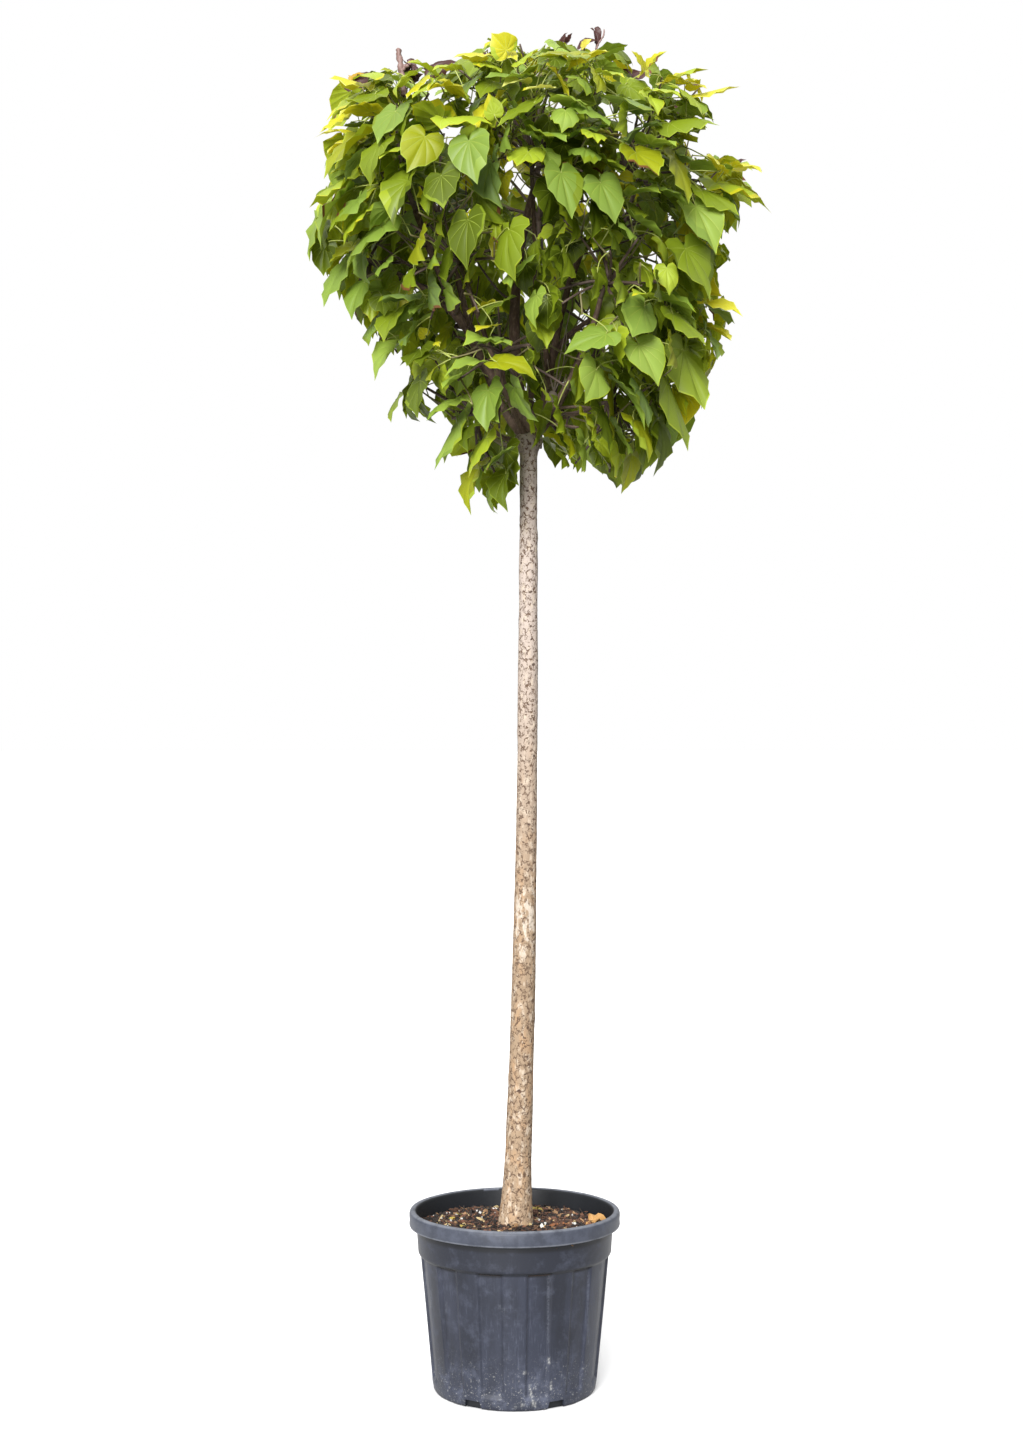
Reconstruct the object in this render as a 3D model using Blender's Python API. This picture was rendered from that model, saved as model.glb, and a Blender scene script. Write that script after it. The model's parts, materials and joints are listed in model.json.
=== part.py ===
"""Umbrella catalpa (a globe-headed catalpa grafted on a tall stem) in a nursery container.

Metres, +Z up. The origin is the middle of the container's underside, and the tree is seen from -Y.
Every piece keeps a gap of SEAT to the piece that carries it.
"""

import math
import random

import bmesh
import bpy
from mathutils import Matrix, Vector
from mathutils.bvhtree import BVHTree

UP = Vector((0.0, 0.0, 1.0))
SEAT = 0.0003

# Container: a 35 litre nursery pot, 42 cm across its rim
POT_HEIGHT = 0.357
RIM_RADIUS = 0.2105
RIM_DROP = 0.031
RIM_LIP = 0.014
COLLAR_RADIUS = 0.1960
COLLAR_FOOT_RADIUS = 0.1925
COLLAR_FOOT_Z = 0.270
WALL_TOP_RADIUS = 0.1880
FOOT_RADIUS = 0.1625
WALL = 0.003
FLOOR = 0.004
FLUTES = 12
FLUTE_DEPTH = 0.003
LAND_SHARE = 0.45
FLUTE_EDGE = 0.06
NOTCHES = 6
NOTCH_WIDTH = 0.040
NOTCH_HEIGHT = 0.013
NOTCH_REACH = 0.030
NOTCH_FIRST_DEG = 0.0

# Potting mix inside the container
SOIL_TOP_Z = 0.320
SOIL_SHOULDER_Z = 0.024
SOIL_FOOT_RADIUS = 0.124

# Stem: straight standard with a slight lean to +X, flared at the soil and swollen at the graft
STEM_FOOT_Z = SOIL_TOP_Z + SEAT
GRAFT_Z = 1.893
STEM_FOOT_X = 0.002
STEM_LEAN = 0.026
LEAN_BEND = 2.6
STEM_RADIUS_LOW = 0.0262
STEM_RADIUS_HIGH = 0.0164
FLARE = 0.0105
FLARE_LENGTH = 0.045
GRAFT_SWELL = 0.0125
GRAFT_SPREAD = 0.018
STEM_SIDES = 14
STEM_RINGS = 18

# Crown outline seen from the front: height, then the reach to the left and to the right of the crown's axis
CROWN_X = 0.03
CROWN_OUTLINE = (
    (1.74, 0.10, 0.05),
    (1.79, 0.14, 0.19),
    (1.84, 0.19, 0.26),
    (1.90, 0.21, 0.32),
    (1.96, 0.28, 0.35),
    (2.06, 0.31, 0.38),
    (2.13, 0.34, 0.41),
    (2.20, 0.42, 0.41),
    (2.31, 0.46, 0.43),
    (2.38, 0.44, 0.48),
    (2.46, 0.42, 0.47),
    (2.54, 0.42, 0.42),
    (2.62, 0.40, 0.41),
    (2.66, 0.37, 0.37),
    (2.73, 0.28, 0.28),
)
CROWN_DEPTH_SHARE = 0.93
CROWN_TOP_Z = 2.725
TOP_FALL_SIDEWAYS = 0.50
TOP_FALL_DEPTHWAYS = 1.00
GAP_BESIDE_STEM = 0.095
GAP_TOP_Z = 1.85

# Limbs: parent, share of the parent's length, radius at foot and at tip, then two handles and the tip
LIMB_SIDES = 7
LIMB_RINGS = 5
LIMBS = {
    "bough_centre": (
        "stem", 0, 0.0140, 0.0075,
        (-0.003, 0.000, 2.009), (-0.020, 0.000, 2.20), (0.040, 0.010, 2.40),
    ),
    "bough_left": (
        "bough_centre", 0.14, 0.0110, 0.0070,
        (-0.035, -0.010, 1.99), (-0.130, -0.030, 2.15), (-0.195, -0.050, 2.34),
    ),
    "bough_right": (
        "stem", 0, 0.0090, 0.0060,
        (0.078, -0.008, 1.935), (0.062, -0.020, 2.16), (0.165, -0.060, 2.32),
    ),
    "bough_back": (
        "stem", 0, 0.0085, 0.0060,
        (0.028, 0.058, 1.935), (0.040, 0.110, 2.15), (0.050, 0.180, 2.34),
    ),
    "bough_back_left": (
        "stem", 0, 0.0085, 0.0060,
        (-0.020, 0.040, 1.926), (-0.100, 0.110, 2.12), (-0.130, 0.150, 2.32),
    ),
    "bough_back_right": (
        "stem", 0, 0.0090, 0.0060,
        (0.077, 0.041, 1.922), (0.150, 0.080, 2.08), (0.200, 0.130, 2.30),
    ),
    "bough_front": (
        "bough_right", 0.40, 0.0055, 0.0045,
        (0.055, -0.060, 2.12), (0.040, -0.110, 2.22), (0.035, -0.150, 2.34),
    ),
    "bough_front_left": (
        "stem", 0, 0.0060, 0.0045,
        (-0.002, -0.052, 1.928), (-0.045, -0.120, 2.04), (-0.095, -0.170, 2.18),
    ),
    "bough_front_right": (
        "stem", 0, 0.0065, 0.0050,
        (0.059, -0.054, 1.926), (0.130, -0.110, 2.00), (0.165, -0.170, 2.14),
    ),
    "bough_left_side": (
        "bough_left", 0.55, 0.0055, 0.0045,
        (-0.170, -0.045, 2.20), (-0.230, -0.040, 2.21), (-0.270, -0.030, 2.24),
    ),
    "bough_right_side": (
        "bough_right", 0.48, 0.0055, 0.0045,
        (0.110, -0.010, 2.13), (0.190, 0.010, 2.15), (0.265, 0.010, 2.19),
    ),
    "bough_back_left_side": (
        "bough_back_left", 0.50, 0.0055, 0.0045,
        (-0.105, 0.150, 2.12), (-0.115, 0.190, 2.13), (-0.130, 0.225, 2.16),
    ),
    "bough_back_right_side": (
        "bough_back_right", 0.50, 0.0055, 0.0045,
        (0.165, 0.120, 2.08), (0.175, 0.170, 2.10), (0.180, 0.215, 2.14),
    ),
    "spur_left": (
        "stem", 0, 0.0052, 0.0042,
        (-0.005, -0.004, 1.888), (-0.030, -0.012, 1.892), (-0.052, -0.014, 1.925),
    ),
    "spur_right": (
        "bough_back_right", 0.24, 0.0060, 0.0045,
        (0.110, 0.020, 1.950), (0.130, 0.010, 1.945), (0.155, 0.000, 1.960),
    ),
    "spur_back": (
        "bough_back", 0.24, 0.0050, 0.0042,
        (0.040, 0.085, 1.955), (0.045, 0.100, 1.950), (0.050, 0.120, 1.970),
    ),
    "spur_front": (
        "bough_front_left", 0.34, 0.0042, 0.0038,
        (-0.020, -0.075, 1.985), (-0.022, -0.080, 2.000), (-0.025, -0.085, 2.030),
    ),
}

# Foliage masses: the limb that carries each, and the middle of the space that it keeps to
MASSES = {
    "foliage_crest": ("bough_centre", (0.035, 0.000, 2.60)),
    "foliage_top_left": ("bough_left", (-0.250, -0.140, 2.43)),
    "foliage_top_back_left": ("bough_back_left", (-0.230, 0.190, 2.43)),
    "foliage_top_back": ("bough_back", (0.050, 0.290, 2.45)),
    "foliage_top_back_right": ("bough_back_right", (0.320, 0.160, 2.45)),
    "foliage_top_right": ("bough_right", (0.330, -0.150, 2.44)),
    "foliage_top_front": ("bough_front", (0.040, -0.290, 2.44)),
    "foliage_left": ("bough_left_side", (-0.300, 0.020, 2.21)),
    "foliage_back_left": ("bough_back_left_side", (-0.130, 0.280, 2.17)),
    "foliage_back_right": ("bough_back_right_side", (0.190, 0.270, 2.16)),
    "foliage_right": ("bough_right_side", (0.350, 0.010, 2.17)),
    "foliage_front_right": ("bough_front_right", (0.200, -0.270, 2.14)),
    "foliage_front_left": ("bough_front_left", (-0.130, -0.260, 2.19)),
    "foliage_low_left": ("spur_left", (-0.140, -0.020, 1.91)),
    "foliage_low_right": ("spur_right", (0.240, -0.040, 1.90)),
    "foliage_low_back": ("spur_back", (0.050, 0.200, 1.92)),
    "foliage_low_front": ("spur_front", (-0.020, -0.140, 2.00)),
}
CELL_MARGIN = 0.0015
LIMB_MARGIN = 0.0025

# Twigs: they fork from the stem of their mass and end inside the crown's outline
SEED = 10
MASS_STEM_SHARE = 0.45
MASS_STEM_TAPER = 0.92
MASS_STEM_SIDES = 5
TWIG_SIDES = 3
TWIG_RINGS = 3
TWIG_FOOT_RADIUS = 0.0048
TWIG_TIP_RADIUS = 0.0036
TWIGS_PER_MASS = 6
TWIG_BOW = 0.12
TWIG_SPREAD = 0.10
TWIG_TRIES = 90
TWIG_SHARES = (0.35, 0.86)
TWIG_HEADROOM = 0.035

# Leaves: heart-shaped, in whorls of three, larger than life by LEAF_GROWTH as there are fewer of them
LEAF_GROWTH = 1.15
BLADE_LENGTH = 0.098 * LEAF_GROWTH
BLADE_WIDTH = 0.088 * LEAF_GROWTH
BLADE_THICKNESS = 0.0030
STALK_LENGTH = 0.045
STALK_RADIUS = 0.0013
HEART_SHAPE = ((-0.09, 0.28), (0.30, 0.50), (1.00, 0.00), (0.30, -0.50), (-0.09, -0.28))
HEART_MIDDLE = 0.32
FOLD = 0.30
WHORLS_PER_TWIG = 4
FIRST_WHORL = 0.40
LAST_WHORL = 0.93
MOST_LEAVES = 22
ROOT_DEPTH = 0.0021
BARE_STALK = 0.25
LEAF_TRIES = 30
LEAF_SIZES = (0.82, 1.12)
DROOP_DEG = (80.0, 20.0)
DROOP_HEIGHTS = (2.05, 2.66)
DROOP_SPREAD_DEG = 13.0
STALK_LIFT = (-0.15, 0.35)
SWING_SPREAD = 0.55
ROLL_SPREAD = 0.30
APART_WEIGHT = 2.5
APART_ENOUGH = 0.10

# Boolean solver for each operation
SOLVER = {"UNION": "MANIFOLD", "DIFFERENCE": "EXACT"}


def clear_scene():
    for obj in list(bpy.data.objects):
        bpy.data.objects.remove(obj, do_unlink=True)


def material(name, colour, roughness, metallic=0.0):
    made = bpy.data.materials.new(name)
    made.use_nodes = True
    shader = made.node_tree.nodes["Principled BSDF"]
    shader.inputs["Base Color"].default_value = (*colour, 1.0)
    shader.inputs["Roughness"].default_value = roughness
    shader.inputs["Metallic"].default_value = metallic
    made.diffuse_color = (*colour, 1.0)
    return made


def mesh_object(name, points, faces, finish=None, smooth=False, home=None):
    """A mesh object of these points and faces, which all face outwards."""
    mesh = bpy.data.meshes.new(name)
    mesh.from_pydata([tuple(p) for p in points], [], faces)
    if finish:
        mesh.materials.append(finish)
    if smooth:
        mesh.shade_smooth()
        mesh.set_sharp_from_angle(angle=math.radians(40))
    obj = bpy.data.objects.new(name, mesh)
    (home or bpy.context.scene.collection).objects.link(obj)
    return obj


def skin(rings):
    """Points and faces of a closed skin over rings of equal count, which turn left about the way ahead."""
    count = len(rings[0])
    points = [p for ring in rings for p in ring]
    faces = [tuple(reversed(range(count))), tuple(range(len(points) - count, len(points)))]
    for r in range(len(rings) - 1):
        for k in range(count):
            a, b = r * count + k, r * count + (k + 1) % count
            faces.append((a, b, b + count, a + count))
    return points, faces


def prism(path, radii, sides):
    """Points and faces of a tapering tube whose rings are all square to its chord, so its sides are flat."""
    chord = (path[-1] - path[0]).normalized()
    across = chord.orthogonal().normalized()
    beside = chord.cross(across)
    turns = [2 * math.pi * k / sides for k in range(sides)]
    return skin([
        [centre + radius * (across * math.cos(a) + beside * math.sin(a)) for a in turns]
        for centre, radius in zip(path, radii)
    ])


def tube(path, radii, sides):
    """Points and faces of a tapering tube along path, each ring square to the path."""
    rings = []
    across = None
    for i, centre in enumerate(path):
        ahead = path[min(i + 1, len(path) - 1)] - path[max(i - 1, 0)]
        ahead.normalize()
        if across is None:
            across = ahead.orthogonal().normalized()
        across = (across - ahead * across.dot(ahead)).normalized()
        beside = ahead.cross(across)
        rings.append([
            centre + radii[i] * (across * math.cos(a) + beside * math.sin(a))
            for a in (2 * math.pi * k / sides for k in range(sides))
        ])
    return skin(rings)


def bezier(a, b, c, d, t):
    s = 1 - t
    return a * s**3 + b * (3 * s * s * t) + c * (3 * s * t * t) + d * t**3


def between(heights, values, z):
    """Values at z, read along straight lines between the heights."""
    if z <= heights[0]:
        return values[0]
    for k in range(len(heights) - 1):
        if z <= heights[k + 1]:
            share = (z - heights[k]) / (heights[k + 1] - heights[k])
            return values[k] + share * (values[k + 1] - values[k])
    return values[-1]


# Container


def pot_angles():
    """(angle, depth share) round the wall: a land and a flute by turns, with short slopes between."""
    period = 2 * math.pi / FLUTES
    stops = ((0.0, 0.0), (LAND_SHARE, 0.0), (LAND_SHARE + FLUTE_EDGE, 1.0), (1.0 - FLUTE_EDGE, 1.0))
    return [((f + share) * period, depth) for f in range(FLUTES) for share, depth in stops]


def pot_profile():
    """(radius, height, share of the flutes' depth) up the outside, over the rim and down the inside."""
    slope = (WALL_TOP_RADIUS - FOOT_RADIUS) / COLLAR_FOOT_Z
    inner = FLUTE_DEPTH + WALL
    rim_foot_z = POT_HEIGHT - RIM_DROP
    return (
        (FOOT_RADIUS - 0.006, 0.0, 0),
        (FOOT_RADIUS, 0.009, 0),
        (FOOT_RADIUS + slope * 0.024, 0.024, 0),
        (FOOT_RADIUS + slope * 0.036, 0.036, 1),
        (FOOT_RADIUS + slope * 0.250, 0.250, 1),
        (FOOT_RADIUS + slope * 0.262, 0.262, 0),
        (COLLAR_FOOT_RADIUS, COLLAR_FOOT_Z, 0),
        (COLLAR_RADIUS, rim_foot_z, 0),
        (RIM_RADIUS, rim_foot_z, 0),
        (RIM_RADIUS, POT_HEIGHT - 0.005, 0),
        (RIM_RADIUS - 0.005, POT_HEIGHT, 0),
        (RIM_RADIUS - RIM_LIP, POT_HEIGHT - 0.002, 0),
        (COLLAR_RADIUS - WALL, rim_foot_z - 0.004, 0),
        (COLLAR_FOOT_RADIUS - WALL, COLLAR_FOOT_Z + 0.003, 0),
        (WALL_TOP_RADIUS - inner, COLLAR_FOOT_Z - 0.004, 0),
        (FOOT_RADIUS - inner, 0.016, 0),
        (FOOT_RADIUS - inner - 0.012, FLOOR, 0),
    )


def pot_ring(radius, height, flute_share=0.0):
    return [
        Vector(((radius - FLUTE_DEPTH * flute_share * depth) * math.cos(a),
                (radius - FLUTE_DEPTH * flute_share * depth) * math.sin(a), height))
        for a, depth in pot_angles()
    ]


def notch_cutter(azimuth):
    """A wedge-topped bar that cuts a drain notch through the foot of the wall."""
    outer, inner = FOOT_RADIUS + 0.02, FOOT_RADIUS - NOTCH_REACH
    half, shoulder = NOTCH_WIDTH / 2, NOTCH_WIDTH / 2 - 0.006
    section = ((-half, -0.01), (half, -0.01), (shoulder, NOTCH_HEIGHT), (-shoulder, NOTCH_HEIGHT))
    rings = [[Vector((r, y, z)) for y, z in section] for r in (inner, outer)]
    cutter = mesh_object("drain_notch_cutter", *skin(rings))
    cutter.rotation_euler.z = azimuth
    return cutter


def make_pot(finish):
    pot = mesh_object("pot", *skin([pot_ring(*row) for row in pot_profile()]), finish, smooth=True)
    cutters = bpy.data.collections.new("drain_notches")
    for k in range(NOTCHES):
        cutter = notch_cutter(math.radians(NOTCH_FIRST_DEG + k * 360 / NOTCHES))
        bpy.context.scene.collection.objects.unlink(cutter)
        cutters.objects.link(cutter)
    fuse(pot, cutters, "DIFFERENCE")
    return pot


def make_soil(finish):
    """The potting mix: a plug that follows the wall inside, with its foot drawn in behind the notches."""
    rings = [
        pot_ring(SOIL_FOOT_RADIUS, FLOOR + SEAT),
        pot_ring(FOOT_RADIUS - FLUTE_DEPTH - WALL - 0.0015, SOIL_SHOULDER_Z),
        pot_ring(WALL_TOP_RADIUS - FLUTE_DEPTH - WALL - 0.0008, COLLAR_FOOT_Z - 0.004),
        pot_ring(COLLAR_FOOT_RADIUS - WALL - 0.0007, COLLAR_FOOT_Z + 0.0035),
        pot_ring(COLLAR_RADIUS - WALL - 0.0016, SOIL_TOP_Z),
    ]
    return mesh_object("potting_mix", *skin(rings), finish)


# Stem


def stem_axis(z):
    share = (z - STEM_FOOT_Z) / (GRAFT_Z - STEM_FOOT_Z)
    return Vector((STEM_FOOT_X + STEM_LEAN * (1 - max(0.0, 1 - share) ** LEAN_BEND), 0.0, z))


def stem_radius(z):
    share = (z - STEM_FOOT_Z) / (GRAFT_Z - STEM_FOOT_Z)
    taper = STEM_RADIUS_LOW + (STEM_RADIUS_HIGH - STEM_RADIUS_LOW) * share
    flare = FLARE * math.exp(-share / FLARE_LENGTH)
    swell = GRAFT_SWELL * math.exp(-(((z - GRAFT_Z) / GRAFT_SPREAD) ** 2))
    return taper + flare + swell


def stem_skin(extra=0.0):
    """The stem's skin, from a flat foot to the rounded graft knuckle, grown outwards by extra."""
    top = GRAFT_Z + 0.022
    rows = []
    for k in range(STEM_RINGS):
        share = k / (STEM_RINGS - 1)
        z = STEM_FOOT_Z + (GRAFT_Z - 0.03 - STEM_FOOT_Z) * share ** 1.35
        rows.append((z, stem_radius(z) + extra))
    for z in (GRAFT_Z - 0.018, GRAFT_Z - 0.006, GRAFT_Z + 0.006):
        rows.append((z, stem_radius(z) + extra))
    rows.append((top - 0.006 + extra, 0.021 + extra))
    rows.append((top + extra, 0.010 + extra))
    path = [stem_axis(z) for z, _ in rows]
    turns = [2 * math.pi * k / STEM_SIDES for k in range(STEM_SIDES)]
    rings = [
        [centre + radius * Vector((math.cos(a), math.sin(a), 0)) for a in turns]
        for centre, (_, radius) in zip(path, rows)
    ]
    return skin(rings)


# Limbs


def limb_path(name, steps):
    """Points along a limb's axis, from inside its parent to its tip."""
    parent, share, _, _, first, second, tip = LIMBS[name]
    foot = stem_axis(GRAFT_Z) if parent == "stem" else limb_point(parent, share)
    return [bezier(foot, Vector(first), Vector(second), Vector(tip), k / steps) for k in range(steps + 1)]


def limb_point(name, share):
    parent, where, _, _, first, second, tip = LIMBS[name]
    foot = stem_axis(GRAFT_Z) if parent == "stem" else limb_point(parent, where)
    return bezier(foot, Vector(first), Vector(second), Vector(tip), share)


def limb_skin(name, extra=0.0):
    foot_radius, tip_radius = LIMBS[name][2:4]
    path = limb_path(name, LIMB_RINGS)
    if extra:
        path[-1] = path[-1] + (path[-1] - path[-2]).normalized() * extra
    radii = [
        foot_radius + (tip_radius - foot_radius) * k / LIMB_RINGS + extra for k in range(LIMB_RINGS + 1)
    ]
    return tube(path, radii, LIMB_SIDES)


def grown_tree(parts):
    """One search tree over several skins."""
    points, faces = [], []
    for some_points, some_faces in parts:
        shift = len(points)
        points += some_points
        faces += [tuple(i + shift for i in f) for f in some_faces]
    return BVHTree.FromPolygons(points, faces)


def make_limb(name, finish):
    """A limb, its foot cut to the curve of the piece that carries it and of the older limbs beside it."""
    limb = mesh_object(name, *limb_skin(name), finish, smooth=True)
    seats = bpy.data.collections.new("seats_of_" + name)
    mesh_object("seat_cutter", *stem_skin(SEAT), home=seats)
    for older in list(LIMBS)[: list(LIMBS).index(name)]:
        mesh_object("seat_cutter", *limb_skin(older, SEAT), home=seats)
    fuse(limb, seats, "DIFFERENCE")


# Joining


def fuse(obj, others, operation):
    """Applies one Boolean with every object of a collection, then removes that collection."""
    step = obj.modifiers.new("fuse", "BOOLEAN")
    step.operation = operation
    step.operand_type = "COLLECTION"
    step.collection = others
    step.solver = SOLVER[operation]
    bpy.context.view_layer.update()
    graph = bpy.context.evaluated_depsgraph_get()
    joined = bpy.data.meshes.new_from_object(obj.evaluated_get(graph))
    obj.modifiers.clear()
    obj.data = joined
    joined.name = obj.name
    keep_main_shell(joined)
    for other in list(others.objects):
        bpy.data.objects.remove(other, do_unlink=True)
    bpy.data.collections.remove(others)


def keep_main_shell(mesh):
    """Leaves the largest shell, in triangles: loose scraps go, and sealed hollows are filled."""
    for method in ("EAR_CLIP", "BEAUTY"):
        shell = bmesh.new()
        shell.from_mesh(mesh)
        groups = sorted(shells_of(shell), key=volume_of_faces)
        for group in groups[:-1]:
            bmesh.ops.delete(shell, geom=group, context="FACES")
        bmesh.ops.triangulate(shell, faces=shell.faces, ngon_method=method)
        if all(len(edge.link_faces) == 2 for edge in shell.edges):
            break
    shell.to_mesh(mesh)
    shell.free()


def shells_of(shell):
    """The faces of a mesh, in groups that hang together."""
    unseen = set(shell.faces)
    while unseen:
        front, group = [unseen.pop()], []
        while front:
            group.append(front.pop())
            near = {other for edge in group[-1].edges for other in edge.link_faces} & unseen
            unseen -= near
            front += near
        yield group


def volume_of_faces(faces):
    total = 0.0
    for face in faces:
        corners = [v.co for v in face.verts]
        for a, b in zip(corners[1:], corners[2:]):
            total += corners[0].dot(a.cross(b)) / 6
    return total


# Crown spaces


def crown_radius(x, y, z):
    """How far the crown reaches from its axis, towards (x, y), at height z."""
    heights, lefts, rights = zip(*CROWN_OUTLINE)
    left, right = between(heights, lefts, z), between(heights, rights, z)
    azimuth = math.atan2(y, x)
    reach = (left + right) / 2 + (right - left) / 2 * math.cos(azimuth)
    return reach * (1 - (1 - CROWN_DEPTH_SHARE) * math.sin(azimuth) ** 2)


def crown_share(point):
    """1 on the crown's outline, less inside it."""
    x, y = point.x - CROWN_X, point.y
    top = CROWN_TOP_Z - TOP_FALL_SIDEWAYS * x * x - TOP_FALL_DEPTHWAYS * y * y
    if point.z > top or point.z < CROWN_OUTLINE[0][0]:
        return 2.0
    if point.z < GAP_TOP_Z and 0.0 < x < GAP_BESIDE_STEM:
        return 2.0
    return math.hypot(x, y) / crown_radius(x, y, point.z)


def in_space(point, name):
    """Whether a point is nearer the middle of this mass's space than that of any other, by the margin."""
    own = Vector(MASSES[name][1])
    for other, (_, middle) in MASSES.items():
        if other == name:
            continue
        other_middle = Vector(middle)
        apart = (own - other_middle).length
        lead = ((point - other_middle).length_squared - (point - own).length_squared) / (2 * apart)
        if lead < CELL_MARGIN:
            return False
    return True


def fits(points, name):
    return all(crown_share(p) <= 1.0 and in_space(p, name) for p in points)


# Leaves


def leaf_solid(root, joint, along, facing, size):
    """A leaf whose stalk runs from root to joint, where its blade begins. Points, then faces."""
    beside = facing.cross(along)
    stalk = (joint - root).normalized()
    above = stalk.cross(beside).normalized()
    level = above.cross(stalk)
    corners = [STALK_RADIUS * (level * x + above * y) for x, y in ((1.0, 0.4), (-1.0, 0.4), (0.0, -1.0))]
    points = [centre + corner for centre in (root, joint) for corner in corners]
    for u, v in HEART_SHAPE:
        across = beside * v - facing * (FOLD * abs(v))
        points.append(joint + (along * (u * BLADE_LENGTH) + across * BLADE_WIDTH) * size)
    points.append(joint + along * (HEART_MIDDLE * BLADE_LENGTH * size) + facing * BLADE_THICKNESS)
    rim, top, under = (3, 6, 7, 8, 9, 10, 4), 11, 5
    faces = [(0, 2, 1), (0, 1, 4, 3), (1, 2, 5, 4), (2, 0, 3, 5), (top, 3, 4)]
    for a, b in zip(rim, rim[1:]):
        faces += [(top, b, a), (under, a, b)]
    return points, faces


def away_from_axis(point, fallback):
    """The level direction from the crown's axis to a point, or the fallback near the axis."""
    outwards = Vector((point.x - CROWN_X, point.y, 0.0))
    return (outwards if outwards.length > 0.02 else Vector((fallback.x, fallback.y, 0.01))).normalized()


def leaf_pose(exit_point, side, rng):
    """(root, joint, along, facing, size) of a leaf whose stalk leaves a twig's surface towards side."""
    outwards = away_from_axis(exit_point, side)
    lift = between(DROOP_HEIGHTS, STALK_LIFT, exit_point.z) + rng.uniform(-0.2, 0.2)
    stalk = (side + outwards * 0.40 + UP * lift).normalized()
    root = exit_point - stalk * ROOT_DEPTH
    joint = exit_point + stalk * (STALK_LENGTH * rng.uniform(0.7, 1.3))
    droop = between(DROOP_HEIGHTS, DROOP_DEG, joint.z) + rng.gauss(0, DROOP_SPREAD_DEG)
    flat = Vector((stalk.x, stalk.y, 0)) + outwards * 0.9
    heading = flat.normalized() if flat.length > 0.05 else outwards
    heading = Matrix.Rotation(rng.gauss(0, SWING_SPREAD), 3, "Z") @ heading
    level, down = math.cos(math.radians(droop)), math.sin(math.radians(droop))
    along = heading * level - UP * down
    facing = Matrix.Rotation(rng.gauss(0, ROLL_SPREAD), 3, along) @ (heading * down + UP * level)
    return root, joint, along, facing, rng.uniform(*LEAF_SIZES)


def touches(solid, trees):
    tree = BVHTree.FromPolygons(*solid)
    return any(tree.overlap(other) for other in trees)


def best_leaf(exit_point, side, name, wood, leaves, rng):
    """Of several tries, the leaf that reaches furthest out and is clear of the wood and the other leaves."""
    best, best_score = None, -1.0
    for _ in range(LEAF_TRIES):
        root, joint, *lie = leaf_pose(exit_point, side, rng)
        solid = leaf_solid(root, joint, *lie)
        if not fits(solid[0][3:], name):
            continue
        middle = solid[0][11]
        gap = min([(middle - other).length for _, other, _ in leaves] + [APART_ENOUGH])
        score = crown_share(solid[0][8]) + APART_WEIGHT * gap
        if score <= best_score:
            continue
        blade = BVHTree.FromPolygons(*leaf_solid(exit_point.lerp(joint, BARE_STALK), joint, *lie))
        if not any(blade.overlap(other) for other in [*wood, *[tree for _, _, tree in leaves]]):
            best, best_score = (solid, middle, blade), score
    return best


# Masses


def twig_ends(name, tip, rng):
    """Where a mass's twigs end: spread out over its space, short of the crown's outline."""
    middle = Vector(MASSES[name][1])
    chosen = []
    for _ in range(TWIGS_PER_MASS):
        best, best_gap = None, 0.0
        for _ in range(TWIG_TRIES):
            spot = middle + Vector([rng.gauss(0, TWIG_SPREAD) for _ in range(3)])
            share = crown_share(spot + UP * TWIG_HEADROOM)
            inner = 0.0 if name == "foliage_crest" else TWIG_SHARES[0]
            if not (in_space(spot, name) and inner < share < TWIG_SHARES[1]):
                continue
            gap = min((spot - other).length for other in [tip, *chosen])
            if gap > best_gap:
                best, best_gap = spot, gap
        if best is not None:
            chosen.append(best)
    return chosen


def mass_stem(name):
    """The path and radii of a mass's stem, which goes on from its limb and bends to the mass's middle."""
    limb, middle = MASSES[name][0], Vector(MASSES[name][1])
    before, tip = limb_path(limb, LIMB_RINGS)[-2:]
    ahead = (tip - before).normalized()
    foot = tip + ahead * SEAT
    inward = (middle - tip).normalized()
    reach = (middle - tip).length * MASS_STEM_SHARE
    crotch = foot + (ahead * 0.6 + inward * 0.4).normalized() * reach
    radius = LIMBS[limb][3] * MASS_STEM_TAPER
    path = [foot, foot + ahead * min(0.012, reach * 0.3), foot + ahead * (reach * 0.5), crotch]
    return path, [radius, radius, radius * 0.85, TWIG_FOOT_RADIUS]


def twig_path(begin, lead, end):
    """A path from begin to end that bows a little towards lead."""
    bow = lead * ((end - begin).length * TWIG_BOW)
    second, third = begin.lerp(end, 1 / 3) + bow, begin.lerp(end, 2 / 3) + bow
    return [bezier(begin, second, third, end, k / TWIG_RINGS) for k in range(TWIG_RINGS + 1)]


def grow_twigs(name, path, limbs, rng):
    """The paths of the twigs that keep to the mass's space and clear of every limb, and their solids."""
    step = (TWIG_TIP_RADIUS - TWIG_FOOT_RADIUS) / TWIG_RINGS
    radii = [TWIG_FOOT_RADIUS + step * k for k in range(TWIG_RINGS + 1)]
    twigs = []
    for end in twig_ends(name, path[0], rng):
        begin = path[2].lerp(path[3], rng.uniform(0.0, 0.95))
        twig = twig_path(begin, (path[3] - path[1]).normalized(), end)
        solid = prism(twig, radii, TWIG_SIDES)
        inside = all(in_space(p, name) for p in solid[0][TWIG_SIDES:])
        if inside and not touches(solid, [limbs]):
            twigs.append((twig, solid))
    return twigs


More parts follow.
